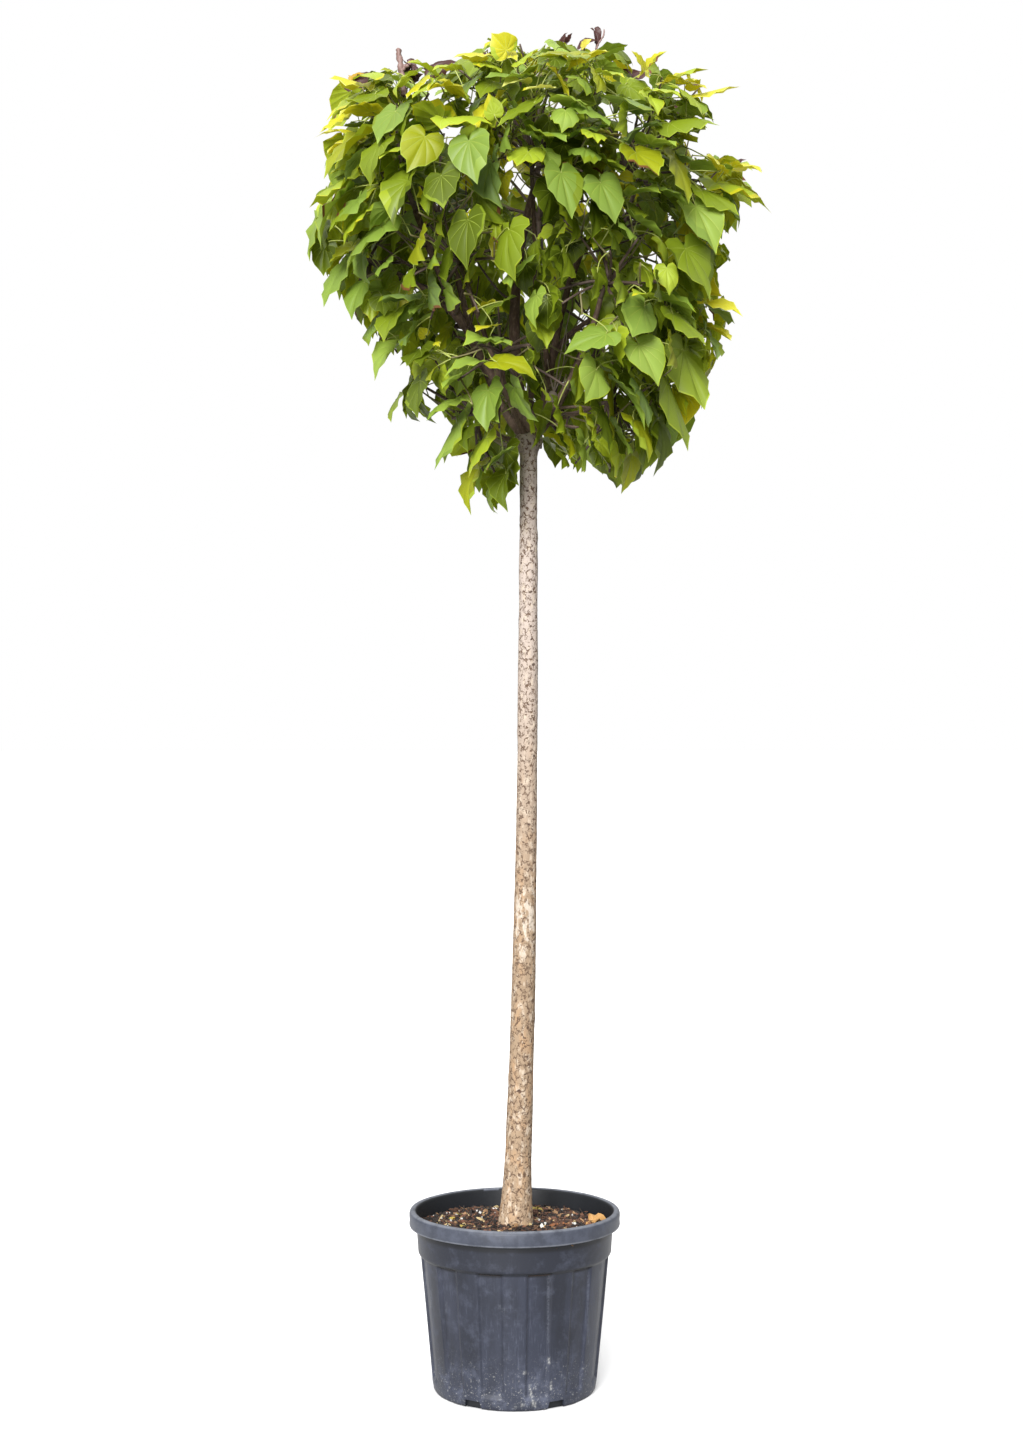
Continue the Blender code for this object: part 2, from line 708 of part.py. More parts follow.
def whorl_of(twig, solid, share):
    """At this share of a twig, the middle of each of its sides and the way out through it."""
    at = TWIG_RINGS * share
    below = min(int(at), TWIG_RINGS - 1)
    node = twig[below].lerp(twig[below + 1], at - below)
    first = below * TWIG_SIDES
    lower = solid[0][first:first + TWIG_SIDES]
    upper = solid[0][first + TWIG_SIDES:first + 2 * TWIG_SIDES]
    corners = [a.lerp(b, at - below) for a, b in zip(lower, upper)]
    middles = [(a + b) / 2 for a, b in zip(corners, corners[1:] + corners[:1])]
    return [(middle, (middle - node).normalized()) for middle in middles]


def grow_leaves(name, twigs, limbs, rng):
    """The leaf solids of a mass, from the outermost whorl of each twig inwards."""
    wood = [limbs, grown_tree([solid for _, solid in twigs])]
    grown = []
    for k in reversed(range(WHORLS_PER_TWIG)):
        share = FIRST_WHORL + (LAST_WHORL - FIRST_WHORL) * k / (WHORLS_PER_TWIG - 1)
        for twig, solid in twigs:
            for exit_point, side in whorl_of(twig, solid, share):
                if len(grown) == MOST_LEAVES:
                    return grown
                leaf = best_leaf(exit_point, side, name, wood, grown, rng)
                if leaf:
                    grown.append(leaf)
    return grown


def make_mass(name, limbs, finish):
    """Twigs that branch from one stem at the limb's tip, with leaves on them, fused into one solid."""
    rng = random.Random(f"{SEED} {name}")
    path, radii = mass_stem(name)
    mass = mesh_object(name, *tube(path, radii, MASS_STEM_SIDES), finish)
    shoots = bpy.data.collections.new("shoots_of_" + name)
    twigs = grow_twigs(name, path, limbs, rng)
    for _, solid in twigs:
        mesh_object("twig", *solid, home=shoots)
    leaves = grow_leaves(name, twigs, limbs, rng)
    for solid, _, _ in leaves:
        mesh_object("leaf", *solid, home=shoots)
    fuse(mass, shoots, "UNION")


def main():
    clear_scene()
    black_plastic = material("black_plastic", (0.090, 0.097, 0.130), 0.55)
    mix = material("potting_mix", (0.135, 0.085, 0.052), 0.95)
    pale_bark = material("pale_bark", (0.50, 0.41, 0.32), 0.85)
    brown_bark = material("brown_bark", (0.16, 0.115, 0.085), 0.80)
    leaf_green = material("leaf_green", (0.20, 0.30, 0.04), 0.60)
    make_pot(black_plastic)
    make_soil(mix)
    mesh_object("stem", *stem_skin(), pale_bark, smooth=True)
    for name in LIMBS:
        make_limb(name, brown_bark)
    keep_out = grown_tree([stem_skin(LIMB_MARGIN)] + [limb_skin(name, LIMB_MARGIN) for name in LIMBS])
    for name in MASSES:
        make_mass(name, keep_out, leaf_green)


main()
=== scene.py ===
"""Umbrella catalpa on a tall stem: bark, boughs, twigs, leaves, potting mix, container and stage.

Run as a script. Metres, +Z up, seen from -Y, with the origin under the middle of the container.
"""

import json
import math
import random

import bpy
import numpy as np
from bpy.props import FloatProperty, FloatVectorProperty, IntProperty, PointerProperty
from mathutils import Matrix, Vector
from mathutils.bvhtree import BVHTree

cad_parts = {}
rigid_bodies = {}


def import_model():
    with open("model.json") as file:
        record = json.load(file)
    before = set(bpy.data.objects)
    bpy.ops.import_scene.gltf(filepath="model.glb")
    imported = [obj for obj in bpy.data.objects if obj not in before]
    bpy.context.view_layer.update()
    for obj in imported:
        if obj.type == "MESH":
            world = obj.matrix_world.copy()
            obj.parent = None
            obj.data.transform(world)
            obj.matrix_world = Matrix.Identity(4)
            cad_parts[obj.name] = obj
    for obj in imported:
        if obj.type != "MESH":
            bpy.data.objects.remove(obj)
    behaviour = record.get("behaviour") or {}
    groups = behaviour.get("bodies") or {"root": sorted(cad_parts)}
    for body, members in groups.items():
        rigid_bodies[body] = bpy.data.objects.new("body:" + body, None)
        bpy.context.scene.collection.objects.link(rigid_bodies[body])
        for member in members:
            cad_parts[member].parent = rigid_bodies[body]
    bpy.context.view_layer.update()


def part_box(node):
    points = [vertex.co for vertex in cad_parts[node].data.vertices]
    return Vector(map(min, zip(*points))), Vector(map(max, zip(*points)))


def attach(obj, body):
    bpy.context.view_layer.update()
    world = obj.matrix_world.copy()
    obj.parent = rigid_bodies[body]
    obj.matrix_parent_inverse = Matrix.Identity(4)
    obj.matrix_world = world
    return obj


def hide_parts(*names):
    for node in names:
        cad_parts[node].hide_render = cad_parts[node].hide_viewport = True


bl_info = {
    "name": "Umbrella catalpa in a container",
    "version": (1, 0, 0),
    "blender": (4, 5, 0),
    "location": "3D View > Sidebar > Catalpa",
    "description": "Dresses the solids of a potted standard tree with bark, leaves, soil and plastic",
    "category": "Object",
}

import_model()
POT_LOW, POT_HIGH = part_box("pot")
STEM_LOW, STEM_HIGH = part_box("stem")

UP = np.array((0.0, 0.0, 1.0))
TURN = 2 * math.pi

# The photograph's picture and camera
PICTURE_MIDDLE = 511.5
HORIZON_ROW = 749.0
PICTURE_ROWS = 1448.0
FOCAL_PIXELS = 2100.0

# Stem: the solids' own rule
STEM_FOOT_Z = STEM_LOW.z
GRAFT_Z = 1.893
STEM_FOOT_X = 0.002
STEM_LEAN = 0.026
LEAN_BEND = 2.6
STEM_RADIUS_LOW = 0.0262
STEM_RADIUS_HIGH = 0.0164
FLARE = 0.0105
FLARE_LENGTH = 0.045
GRAFT_SWELL = 0.0125
GRAFT_SPREAD = 0.018

# Crown outline from the front: height, reach to the left, reach to the right
CROWN_X = 0.03
CROWN_OUTLINE = np.array((
    (1.74, 0.10, 0.05),
    (1.79, 0.14, 0.19),
    (1.84, 0.19, 0.26),
    (1.90, 0.21, 0.32),
    (1.96, 0.28, 0.35),
    (2.06, 0.31, 0.38),
    (2.13, 0.34, 0.41),
    (2.20, 0.42, 0.41),
    (2.31, 0.46, 0.43),
    (2.38, 0.44, 0.48),
    (2.46, 0.42, 0.47),
    (2.54, 0.42, 0.42),
    (2.62, 0.40, 0.41),
    (2.66, 0.37, 0.37),
    (2.73, 0.28, 0.28),
))
CROWN_DEPTH_SHARE = 0.93
CROWN_TOP_Z = 2.725
TOP_FALL_SIDEWAYS = 0.50
TOP_FALL_DEPTHWAYS = 1.00
GAP_BESIDE_STEM = 0.095
GAP_TOP_Z = 1.85

# Limbs: parent, share of the parent's length, radius at foot and at tip, then two handles and the tip
LIMBS = {
    "bough_centre": ("stem", 0, 0.014, 0.0075, (-0.003, 0, 2.009), (-0.02, 0, 2.2), (0.04, 0.01, 2.4)),
    "bough_left": ("bough_centre", 0.14, 0.0098, 0.0062, (-0.035, -0.01, 1.99), (-0.13, -0.03, 2.15), (-0.195, -0.05, 2.34)),
    "bough_right": ("stem", 0, 0.009, 0.006, (0.078, -0.008, 1.935), (0.062, -0.02, 2.16), (0.165, -0.06, 2.32)),
    "bough_back": ("stem", 0, 0.0085, 0.006, (0.028, 0.058, 1.935), (0.04, 0.11, 2.15), (0.05, 0.18, 2.34)),
    "bough_back_left": ("stem", 0, 0.0085, 0.006, (-0.02, 0.04, 1.926), (-0.1, 0.11, 2.12), (-0.13, 0.15, 2.32)),
    "bough_back_right": ("stem", 0, 0.009, 0.006, (0.077, 0.041, 1.922), (0.15, 0.08, 2.08), (0.2, 0.13, 2.3)),
    "bough_front": ("bough_right", 0.4, 0.0055, 0.0045, (0.055, -0.06, 2.12), (0.04, -0.11, 2.22), (0.035, -0.15, 2.34)),
    "bough_front_left": ("stem", 0, 0.006, 0.0045, (-0.002, -0.052, 1.928), (-0.045, -0.12, 2.04), (-0.095, -0.17, 2.18)),
    "bough_front_right": ("stem", 0, 0.0065, 0.005, (0.059, -0.054, 1.926), (0.13, -0.11, 2.00), (0.165, -0.17, 2.14)),
    "bough_left_side": ("bough_left", 0.55, 0.0055, 0.0045, (-0.17, -0.045, 2.2), (-0.23, -0.04, 2.21), (-0.27, -0.03, 2.24)),
    "bough_right_side": ("bough_right", 0.48, 0.0055, 0.0045, (0.11, -0.01, 2.13), (0.19, 0.01, 2.15), (0.265, 0.01, 2.19)),
    "bough_back_left_side": ("bough_back_left", 0.5, 0.0055, 0.0045, (-0.105, 0.15, 2.12), (-0.115, 0.19, 2.13), (-0.13, 0.225, 2.16)),
    "bough_back_right_side": ("bough_back_right", 0.5, 0.0055, 0.0045, (0.165, 0.12, 2.08), (0.175, 0.17, 2.1), (0.18, 0.215, 2.14)),
    "spur_left": ("stem", 0, 0.0052, 0.0042, (-0.005, -0.004, 1.888), (-0.03, -0.012, 1.892), (-0.052, -0.014, 1.925)),
    "spur_right": ("bough_back_right", 0.24, 0.006, 0.0045, (0.11, 0.02, 1.95), (0.13, 0.01, 1.945), (0.155, 0, 1.96)),
    "spur_back": ("bough_back", 0.24, 0.005, 0.0042, (0.04, 0.085, 1.955), (0.045, 0.1, 1.95), (0.05, 0.12, 1.97)),
    "spur_front": ("bough_front_left", 0.34, 0.0042, 0.0038, (-0.02, -0.075, 1.985), (-0.022, -0.08, 2.000), (-0.025, -0.085, 2.03)),
}

# Masses of foliage: the limb that carries each, and the middle of its space
MASSES = {
    "crest": ("bough_centre", (0.035, 0.000, 2.60)),
    "top_left": ("bough_left", (-0.250, -0.140, 2.43)),
    "top_back_left": ("bough_back_left", (-0.230, 0.190, 2.43)),
    "top_back": ("bough_back", (0.050, 0.290, 2.45)),
    "top_back_right": ("bough_back_right", (0.320, 0.160, 2.45)),
    "top_right": ("bough_right", (0.330, -0.150, 2.44)),
    "top_front": ("bough_front", (0.040, -0.290, 2.44)),
    "left": ("bough_left_side", (-0.300, 0.020, 2.21)),
    "back_left": ("bough_back_left_side", (-0.130, 0.280, 2.17)),
    "back_right": ("bough_back_right_side", (0.190, 0.270, 2.16)),
    "right": ("bough_right_side", (0.350, 0.010, 2.17)),
    "front_right": ("bough_front_right", (0.200, -0.270, 2.14)),
    "front_left": ("bough_front_left", (-0.130, -0.260, 2.19)),
    "low_left": ("spur_left", (-0.140, -0.020, 1.91)),
    "low_right": ("spur_right", (0.240, -0.040, 1.90)),
    "low_back": ("spur_back", (0.050, 0.200, 1.92)),
    "low_front": ("spur_front", (-0.020, -0.140, 2.00)),
}
SPACE_MARGIN = -0.014

# Twigs and side shoots
MASS_STEM_SHARE = 0.45
MASS_STEM_TAPER = 0.92
TWIG_TRIES = 90
TWIG_SPREAD = 0.10
TWIG_SHARES = (0.35, 0.88)
TWIG_HEADROOM = 0.035
TWIG_BOW = 0.12
TWIG_RADII = (0.0036, 0.0019)
SHOOT_RADII = (0.0022, 0.0014)
SHOOT_REACH = (0.05, 0.10)
TWIG_STEPS = 7
NODE_SPACING = 0.034
FIRST_NODE = 0.30

# Leaves
LEAF_TRIES = 30
LEAF_TESTS = 6
BLADE_SIZES = (0.70, 1.06)
STALK_LENGTHS = (0.035, 0.085)
DROOP_DEG = (78.0, 22.0)
DROOP_HEIGHTS = (2.05, 2.66)
DROOP_SPREAD = 14.0
STALK_LIFT = (-0.15, 0.35)
SWING_SPREAD = 0.55
ROLL_SPREAD = 0.32
LEAF_APART = 0.034
NEAR_LEAVES = 0.14
BLADE_ASPECT = 0.94

# A blade: rays from the stalk's end, each with its reach, and rings across them
RAY_DEGREES = (0, 5, 12, 27, 40, 54, 72, 90, 112, 135, 157)
RAY_REACH = (1.00, 0.88, 0.79, 0.70, 0.645, 0.60, 0.555, 0.52, 0.45, 0.36, 0.24)
VEIN_DEGREES = (0, 27, 54, 90)
RINGS = (0.22, 0.45, 0.68, 0.87, 0.97, 1.00)
VEIN_BOW = 0.30
VEIN_HALF_WIDTH = 0.0075
COARSE_DEGREES = (-157, -112, -72, -40, -13, 0, 13, 40, 72, 112, 157)


# Vectors and curves


def unit(vectors):
    return vectors / np.maximum(np.linalg.norm(vectors, axis=-1, keepdims=True), 1e-12)


def bezier(a, b, c, d, shares):
    """Points at these shares of a cubic curve."""
    t = np.atleast_1d(np.asarray(shares, float))[:, None]
    s = 1 - t
    return a * s**3 + b * (3 * s * s * t) + c * (3 * s * t * t) + d * t**3


def smooth_step(low, high, values):
    share = np.clip((values - low) / (high - low), 0, 1)
    return share * share * (3 - 2 * share)


def lattice_noise(points, seed=0):
    """Smooth noise from -1 to 1 at each point, from random values on a unit lattice."""
    cell = np.floor(points).astype(np.int64)
    share = points - cell
    share = share * share * (3 - 2 * share)
    total = np.zeros(len(points))
    for corner in range(8):
        step = np.array((corner & 1, corner >> 1 & 1, corner >> 2))
        key = (cell + step) @ np.array((73856093, 19349663, 83492791)) + seed * 97561
        key = (key ^ (key >> 13)) * 1274126177
        value = ((key ^ (key >> 16)) & 0xFFFF) / 32767.5 - 1
        total += value * np.prod(np.where(step, share, 1 - share), axis=1)
    return total


def pixel_point(column, row, depth, view):
    """The point that the photograph shows at this pixel, at this depth along +Y."""
    away = view.distance + depth
    across = view.sideways + (column - PICTURE_MIDDLE) * away / FOCAL_PIXELS
    return np.array((across, depth, view.height + (HORIZON_ROW - row) * away / FOCAL_PIXELS))


def pixels_of(points, view):
    """Column and row of the photograph for each point."""
    away = view.distance + points[..., 1]
    column = PICTURE_MIDDLE + (points[..., 0] - view.sideways) * FOCAL_PIXELS / away
    row = HORIZON_ROW - (points[..., 2] - view.height) * FOCAL_PIXELS / away
    return column, row


# Meshes from arrays


class Batch:
    """Gathers many small shapes, to be joined into one mesh."""

    def __init__(self):
        self.points = []
        self.faces = []
        self.slots = []
        self.count = 0

    def add(self, points, faces, slot=0):
        self.points.append(np.asarray(points, float))
        self.faces.append(np.asarray(faces, np.int64) + self.count)
        self.slots.append(np.broadcast_to(np.asarray(slot, np.int32), len(faces)))
        self.count += len(points)

    def piece(self, name, finishes, sharp=None):
        points = np.concatenate(self.points)
        faces = np.concatenate(self.faces)
        return array_piece(name, points, faces, finishes, np.concatenate(self.slots), sharp)


def array_piece(name, points, faces, finishes, slots=None, sharp=None):
    """An object from an array of points and one of faces with equal corner counts."""
    corners = faces.shape[1]
    mesh = bpy.data.meshes.new(name)
    mesh.vertices.add(len(points))
    mesh.vertices.foreach_set("co", np.asarray(points, np.float32).ravel())
    mesh.loops.add(faces.size)
    mesh.loops.foreach_set("vertex_index", faces.astype(np.int32).ravel())
    mesh.polygons.add(len(faces))
    mesh.polygons.foreach_set("loop_start", np.arange(0, faces.size, corners, dtype=np.int32))
    for finish in finishes:
        mesh.materials.append(finish)
    if slots is not None:
        mesh.polygons.foreach_set("material_index", np.asarray(slots, np.int32))
    mesh.update(calc_edges=True)
    mesh.validate()
    mesh.shade_smooth()
    if sharp:
        mesh.set_sharp_from_angle(angle=math.radians(sharp))
    made = bpy.data.objects.new(name, mesh)
    bpy.context.scene.collection.objects.link(made)
    return made


def hold(mesh, name, values):
    """Keeps a value at each point of a mesh."""
    mesh.attributes.new(name, "FLOAT", "POINT").data.foreach_set("value", np.asarray(values, np.float32))


def settle(piece, slot, *nodes):
    """The piece rides on the plant and stands for these solids; the slot is not used."""
    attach(piece, "root")
    if nodes:
        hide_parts(*nodes)
    return piece


def ring_axes(path):
    """Two directions across the path at each of its points, without twist."""
    ahead = unit(np.gradient(path, axis=0))
    across = np.zeros_like(path)
    start = np.cross(ahead[0], (0.3, 0.9, 0.2))
    across[0] = unit(start)
    for k in range(1, len(path)):
        flat = across[k - 1] - ahead[k] * np.dot(across[k - 1], ahead[k])
        across[k] = unit(flat)
    return across, np.cross(ahead, across)


def tube(path, radii, sides):
    """Points and triangles of a tube with closed ends. radii has one value per ring, or one per point."""
    path = np.asarray(path, float)
    radii = np.asarray(radii, float)
    if radii.ndim == 1:
        radii = np.repeat(radii[:, None], sides, axis=1)
    across, beside = ring_axes(path)
    angles = np.arange(sides) * TURN / sides
    wheel = across[:, None] * np.cos(angles)[:, None] + beside[:, None] * np.sin(angles)[:, None]
    points = (path[:, None] + wheel * radii[..., None]).reshape(-1, 3)
    points = np.concatenate([points, path[:1], path[-1:]])
    return points, tube_faces(len(path), sides)


def tube_faces(rings, sides):
    k = np.arange(sides)
    ahead = (k + 1) % sides
    starts = np.arange(rings - 1)[:, None] * sides
    a, b = starts + k, starts + ahead
    sheet = np.stack([a, b, b + sides, a, b + sides, a + sides], axis=-1).reshape(-1, 3)
    first, last = rings * sides, rings * sides + 1
    foot = np.stack([ahead, k, np.full(sides, first)], axis=-1)
    end = (rings - 1) * sides
    tip = np.stack([end + k, end + ahead, np.full(sides, last)], axis=-1)
    return np.concatenate([sheet, foot, tip])


# Shader maths


class Signal:
    """A socket of a finish. Arithmetic on it adds Math nodes."""

    def __init__(self, finish, socket):
        self.finish = finish
        self.socket = socket

    def reckon(self, operation, *values):
        return self.finish.add("ShaderNodeMath", {"operation": operation}, dict(enumerate(values)))

    def __add__(self, other):
        return self.reckon("ADD", self, other)

    def __sub__(self, other):
        return self.reckon("SUBTRACT", self, other)

    def __rsub__(self, other):
        return self.reckon("SUBTRACT", other, self)

    def __mul__(self, other):
        return self.reckon("MULTIPLY", self, other)

    __radd__, __rmul__ = __add__, __mul__

    def between(self, low, high):
        """0 below low, 1 above high, and smooth in between. low may be the larger."""
        span = {"From Min": low, "From Max": high}
        settings = {"interpolation_type": "SMOOTHSTEP"}
        return self.finish.add("ShaderNodeMapRange", settings, {"Value": self, **span})

    def least(self, other):
        return self.reckon("MINIMUM", self, other)

    def most(self, other):
        return self.reckon("MAXIMUM", self, other)


class Finish:
    """A material and its node tree."""

    def __init__(self, name, colour, roughness, **uniform):
        self.material = bpy.data.materials.new(name)
        self.material.use_nodes = True
        self.material.diffuse_color = (*colour, 1)
        self.tree = self.material.node_tree
        self.shader = self.tree.nodes["Principled BSDF"]
        self.shader.inputs["Base Color"].default_value = (*colour, 1)
        self.shader.inputs["Roughness"].default_value = roughness
        for socket, value in uniform.items():
            self.shader.inputs[socket.replace("_", " ")].default_value = value

    def add(self, kind, settings=None, sockets=None, output=0):
        """Adds a node of this kind, with its settings first and then its sockets."""
        node = self.tree.nodes.new(kind)
        for key, value in (settings or {}).items():
            if key == "stops":
                self.set_stops(node, value)
            else:
                setattr(node, key, value)
        for key, value in (sockets or {}).items():
            self.feed(node.inputs[key], value)
        return Signal(self, node.outputs[output])

    def feed(self, socket, value):
        if isinstance(value, Signal):
            self.tree.links.new(value.socket, socket)
        elif isinstance(value, tuple) and len(value) == 3 and socket.type == "RGBA":
            socket.default_value = (*value, 1)
        else:
            socket.default_value = value

    def set_stops(self, node, stops):
        ramp = node.color_ramp
        while len(ramp.elements) < len(stops):
            ramp.elements.new(1)
        for element, (place, colour) in zip(ramp.elements, stops):
            element.position = place
            element.color = (*colour, 1)

    def place(self, scale=(1, 1, 1)):
        """The place on the plant in metres, times a scale."""
        where = self.add("ShaderNodeTexCoord", output="Object")
        return self.add("ShaderNodeVectorMath", {"operation": "MULTIPLY"}, {0: where, 1: scale})

    def warped(self, scale, amount, stretch=(1, 1, 1)):
        """The place on the plant, pushed about by noise and then stretched."""
        push = self.add("ShaderNodeTexNoise", None, {"Vector": self.place(), "Scale": scale, "Detail": 2.0}, "Color")
        values = {0: push, 1: (amount,) * 3, 2: self.place()}
        where = self.add("ShaderNodeVectorMath", {"operation": "MULTIPLY_ADD"}, values)
        return self.add("ShaderNodeVectorMath", {"operation": "MULTIPLY"}, {0: where, 1: stretch})

    def noise(self, where, scale, detail=3.0, roughness=0.55, distortion=0.0):
        values = {"Vector": where, "Scale": scale, "Detail": detail, "Roughness": roughness}
        return self.add("ShaderNodeTexNoise", None, {**values, "Distortion": distortion}, "Fac")

    def cells(self, where, scale, feature="F1", output="Distance", randomness=1.0):
        values = {"Vector": where, "Scale": scale, "Randomness": randomness}
        return self.add("ShaderNodeTexVoronoi", {"feature": feature}, values, output)

    def height(self):
        return self.add("ShaderNodeSeparateXYZ", None, {0: self.place()}, "Z")

    def mix(self, first, second, factor):
        """A colour between two colours."""
        return self.add("ShaderNodeMix", {"data_type": "RGBA"}, {0: factor, 6: first, 7: second}, 2)

    def mark(self, name):
        """A value that the mesh holds at each of its points."""
        return self.add("ShaderNodeAttribute", {"attribute_name": name}, None, "Fac")

    def wear(self, base=None, roughness=None, bump=None, depth=0.001, strength=0.6):
        """Feeds what varies over the surface to the shader."""
        if base is not None:
            self.feed(self.shader.inputs["Base Color"], base)
        if roughness is not None:
            self.feed(self.shader.inputs["Roughness"], roughness)
        if bump is not None:
            values = {"Height": bump, "Distance": depth, "Strength": strength}
            self.feed(self.shader.inputs["Normal"], self.add("ShaderNodeBump", None, values))
        return self.material


def plain_finish(name, colour, roughness, **uniform):
    return Finish(name, colour, roughness, **uniform).material


def leaf_finish(name, colour, glow, share=0.23):
    """A thin leaf: a satin face that lets some light through, in plain colours."""
    finish = Finish(name, colour, 0.48, Specular_IOR_Level=0.35)
    through = finish.add("ShaderNodeBsdfTranslucent", None, {"Color": tuple(glow)})
    face = Signal(finish, finish.shader.outputs[0])
    both = finish.add("ShaderNodeMixShader", None, {0: share, 1: face, 2: through})
    finish.feed(finish.tree.nodes["Material Output"].inputs["Surface"], both)
    return finish.material


# Crown spaces


def crown_share(points):
    """1 on the crown's outline, less inside it, for an array of points."""
    x, y, z = points[..., 0] - CROWN_X, points[..., 1], points[..., 2]
    heights, lefts, rights = CROWN_OUTLINE.T
    left, right = np.interp(z, heights, lefts), np.interp(z, heights, rights)
    azimuth = np.arctan2(y, x)
    reach = (left + right) / 2 + (right - left) / 2 * np.cos(azimuth)
    reach = reach * (1 - (1 - CROWN_DEPTH_SHARE) * np.sin(azimuth) ** 2)
    top = CROWN_TOP_Z - TOP_FALL_SIDEWAYS * x * x - TOP_FALL_DEPTHWAYS * y * y
    share = np.maximum(np.hypot(x, y) / reach, 1 + 4 * np.maximum(z - top, heights[0] - z))
    return np.where((z < GAP_TOP_Z) & (x > 0) & (x < GAP_BESIDE_STEM), 2.0, share)


def in_space(points, name, margin=SPACE_MARGIN):
    """Whether each point is nearer the middle of this mass's space than that of any other."""
    own = np.array(MASSES[name][1])
    inside = np.ones(points.shape[:-1], bool)
    for other, (_, middle) in MASSES.items():
        if other != name:
            middle = np.array(middle)
            lead = ((points - middle) ** 2).sum(-1) - ((points - own) ** 2).sum(-1)
            inside &= lead / (2 * np.linalg.norm(own - middle)) >= margin
    return inside


# Stem and boughs


def stem_axis(z):
    z = np.asarray(z, float)
    share = np.clip((z - STEM_FOOT_Z) / (GRAFT_Z - STEM_FOOT_Z), 0, 1)
    x = STEM_FOOT_X + STEM_LEAN * (1 - (1 - share) ** LEAN_BEND)
    return np.stack([x, np.zeros_like(z), z], axis=-1)


def stem_radius(z):
    share = (z - STEM_FOOT_Z) / (GRAFT_Z - STEM_FOOT_Z)
    taper = STEM_RADIUS_LOW + (STEM_RADIUS_HIGH - STEM_RADIUS_LOW) * share
    flare = FLARE * np.exp(-share / FLARE_LENGTH)
    swell = GRAFT_SWELL * np.exp(-(((z - GRAFT_Z) / GRAFT_SPREAD) ** 2))
    return taper + flare + swell


def limb_points(name, shares):
    parent, where, _, _, first, second, tip = LIMBS[name]
    foot = stem_axis(GRAFT_Z) if parent == "stem" else limb_points(parent, where)[0]
    return bezier(foot, np.array(first), np.array(second), np.array(tip), shares)


def limb_radii(name, shares):
    foot, tip = LIMBS[name][2:4]
    return foot + (tip - foot) * np.asarray(shares)


def round_distance(angle, centre):
    return (angle - centre + math.pi) % TURN - math.pi


def bark_marks(angles, heights, radius, rng, count, wide, tall):
    """How deep each point lies in small pits scattered round the stem, from 0 to 1."""
    depth = np.zeros_like(angles)
    for _ in range(count):
        at_angle, at_height = rng.uniform(0, TURN), rng.uniform(heights.min(), heights.max())
        size = rng.uniform(0.6, 1.3)
        near = np.abs(heights - at_height) < tall * size * 3
        across = round_distance(angles[near], at_angle) * radius[near] / (wide * size)
        along = (heights[near] - at_height) / (tall * size)
        depth[near] = np.maximum(depth[near], np.exp(-(across**2 + along**2)))
    return depth


def bark_knots(angles, heights, radius, knots):
    """Raised scars of shed side branches: (swelling, sunken middle) at each point."""
    swell, hollow = np.zeros_like(angles), np.zeros_like(angles)
    for at_angle, at_height, size in knots:
        across = round_distance(angles, math.radians(at_angle)) * radius / size
        along = (heights - at_height) / (size * 0.75)
        away = across**2 + along**2
        swell += np.exp(-away)
        hollow += np.exp(-away * 9)
    return swell, hollow


STEM_KNOTS = (
    (262, 1.790, 0.012), (324, 1.754, 0.012), (287, 1.670, 0.011), (220, 1.646, 0.010), (282, 1.588, 0.012),
    (285, 1.520, 0.011), (304, 1.444, 0.013), (180, 1.728, 0.013), (182, 1.530, 0.013), (0, 1.702, 0.013),
    (310, 1.262, 0.012), (238, 1.205, 0.010), (285, 1.125, 0.011), (318, 0.905, 0.013),
    (250, 0.812, 0.010), (296, 0.722, 0.010), (262, 0.596, 0.012), (277, 0.345, 0.011),
    (30, 1.70, 0.013), (95, 1.48, 0.012), (150, 1.31, 0.013), (60, 1.10, 0.012),
    (120, 0.93, 0.012), (20, 0.74, 0.013), (170, 0.62, 0.011), (85, 0.50, 0.013),
)


def stem_mesh(settings):
    """The stem's axis rings with ridges, pits and knots, and how deep each point lies."""
    rng = random.Random(settings.seed)
    top = GRAFT_Z + 0.016
    rows, sides = settings.stem_rows, settings.stem_sides
    z = np.linspace(STEM_FOOT_Z, top, rows)
    angle = np.arange(sides) * TURN / sides
    a, h = np.meshgrid(angle, z)
    a, h = a.ravel(), h.ravel()
    radius = stem_radius(h)
    flat = np.stack([np.cos(a) * radius, np.sin(a) * radius, h], axis=-1)
    ridges = 1 - np.abs(lattice_noise(flat * (190, 190, 48), 1)) * 2
    crackle = 1 - np.abs(lattice_noise(flat * (420, 420, 170), 2)) * 2
    lumps = lattice_noise(flat * (16, 16, 11), 3)
    pits = bark_marks(a, h, radius, rng, settings.pits, 0.0022, 0.0013)
    swell, hollow = bark_knots(a, h, radius, STEM_KNOTS)
    relief = settings.relief * (ridges * 0.55 + crackle * 0.45 - pits * 1.6 - hollow * 1.8)
    out = radius + relief + lumps * 0.0009 + swell * 0.0013
    close = smooth_step(top, top - 0.010, h) ** 0.5
    out = out * (0.45 + 0.55 * close)
    points = stem_axis(h) + np.stack([np.cos(a) * out, np.sin(a) * out, np.zeros_like(h)], axis=-1)
    depth = np.clip(0.5 - ridges * 0.28 - crackle * 0.24, 0, 1)
    ends = stem_axis(np.array((STEM_FOOT_Z, top)))
    points = np.concatenate([points, ends])
    marks = {
        "crevice": np.append(depth, (0.5, 0.5)),
        "pit": np.append(np.clip(pits + hollow, 0, 1), (0.0, 0.0)),
    }
    return points, tube_faces(rows, sides), marks


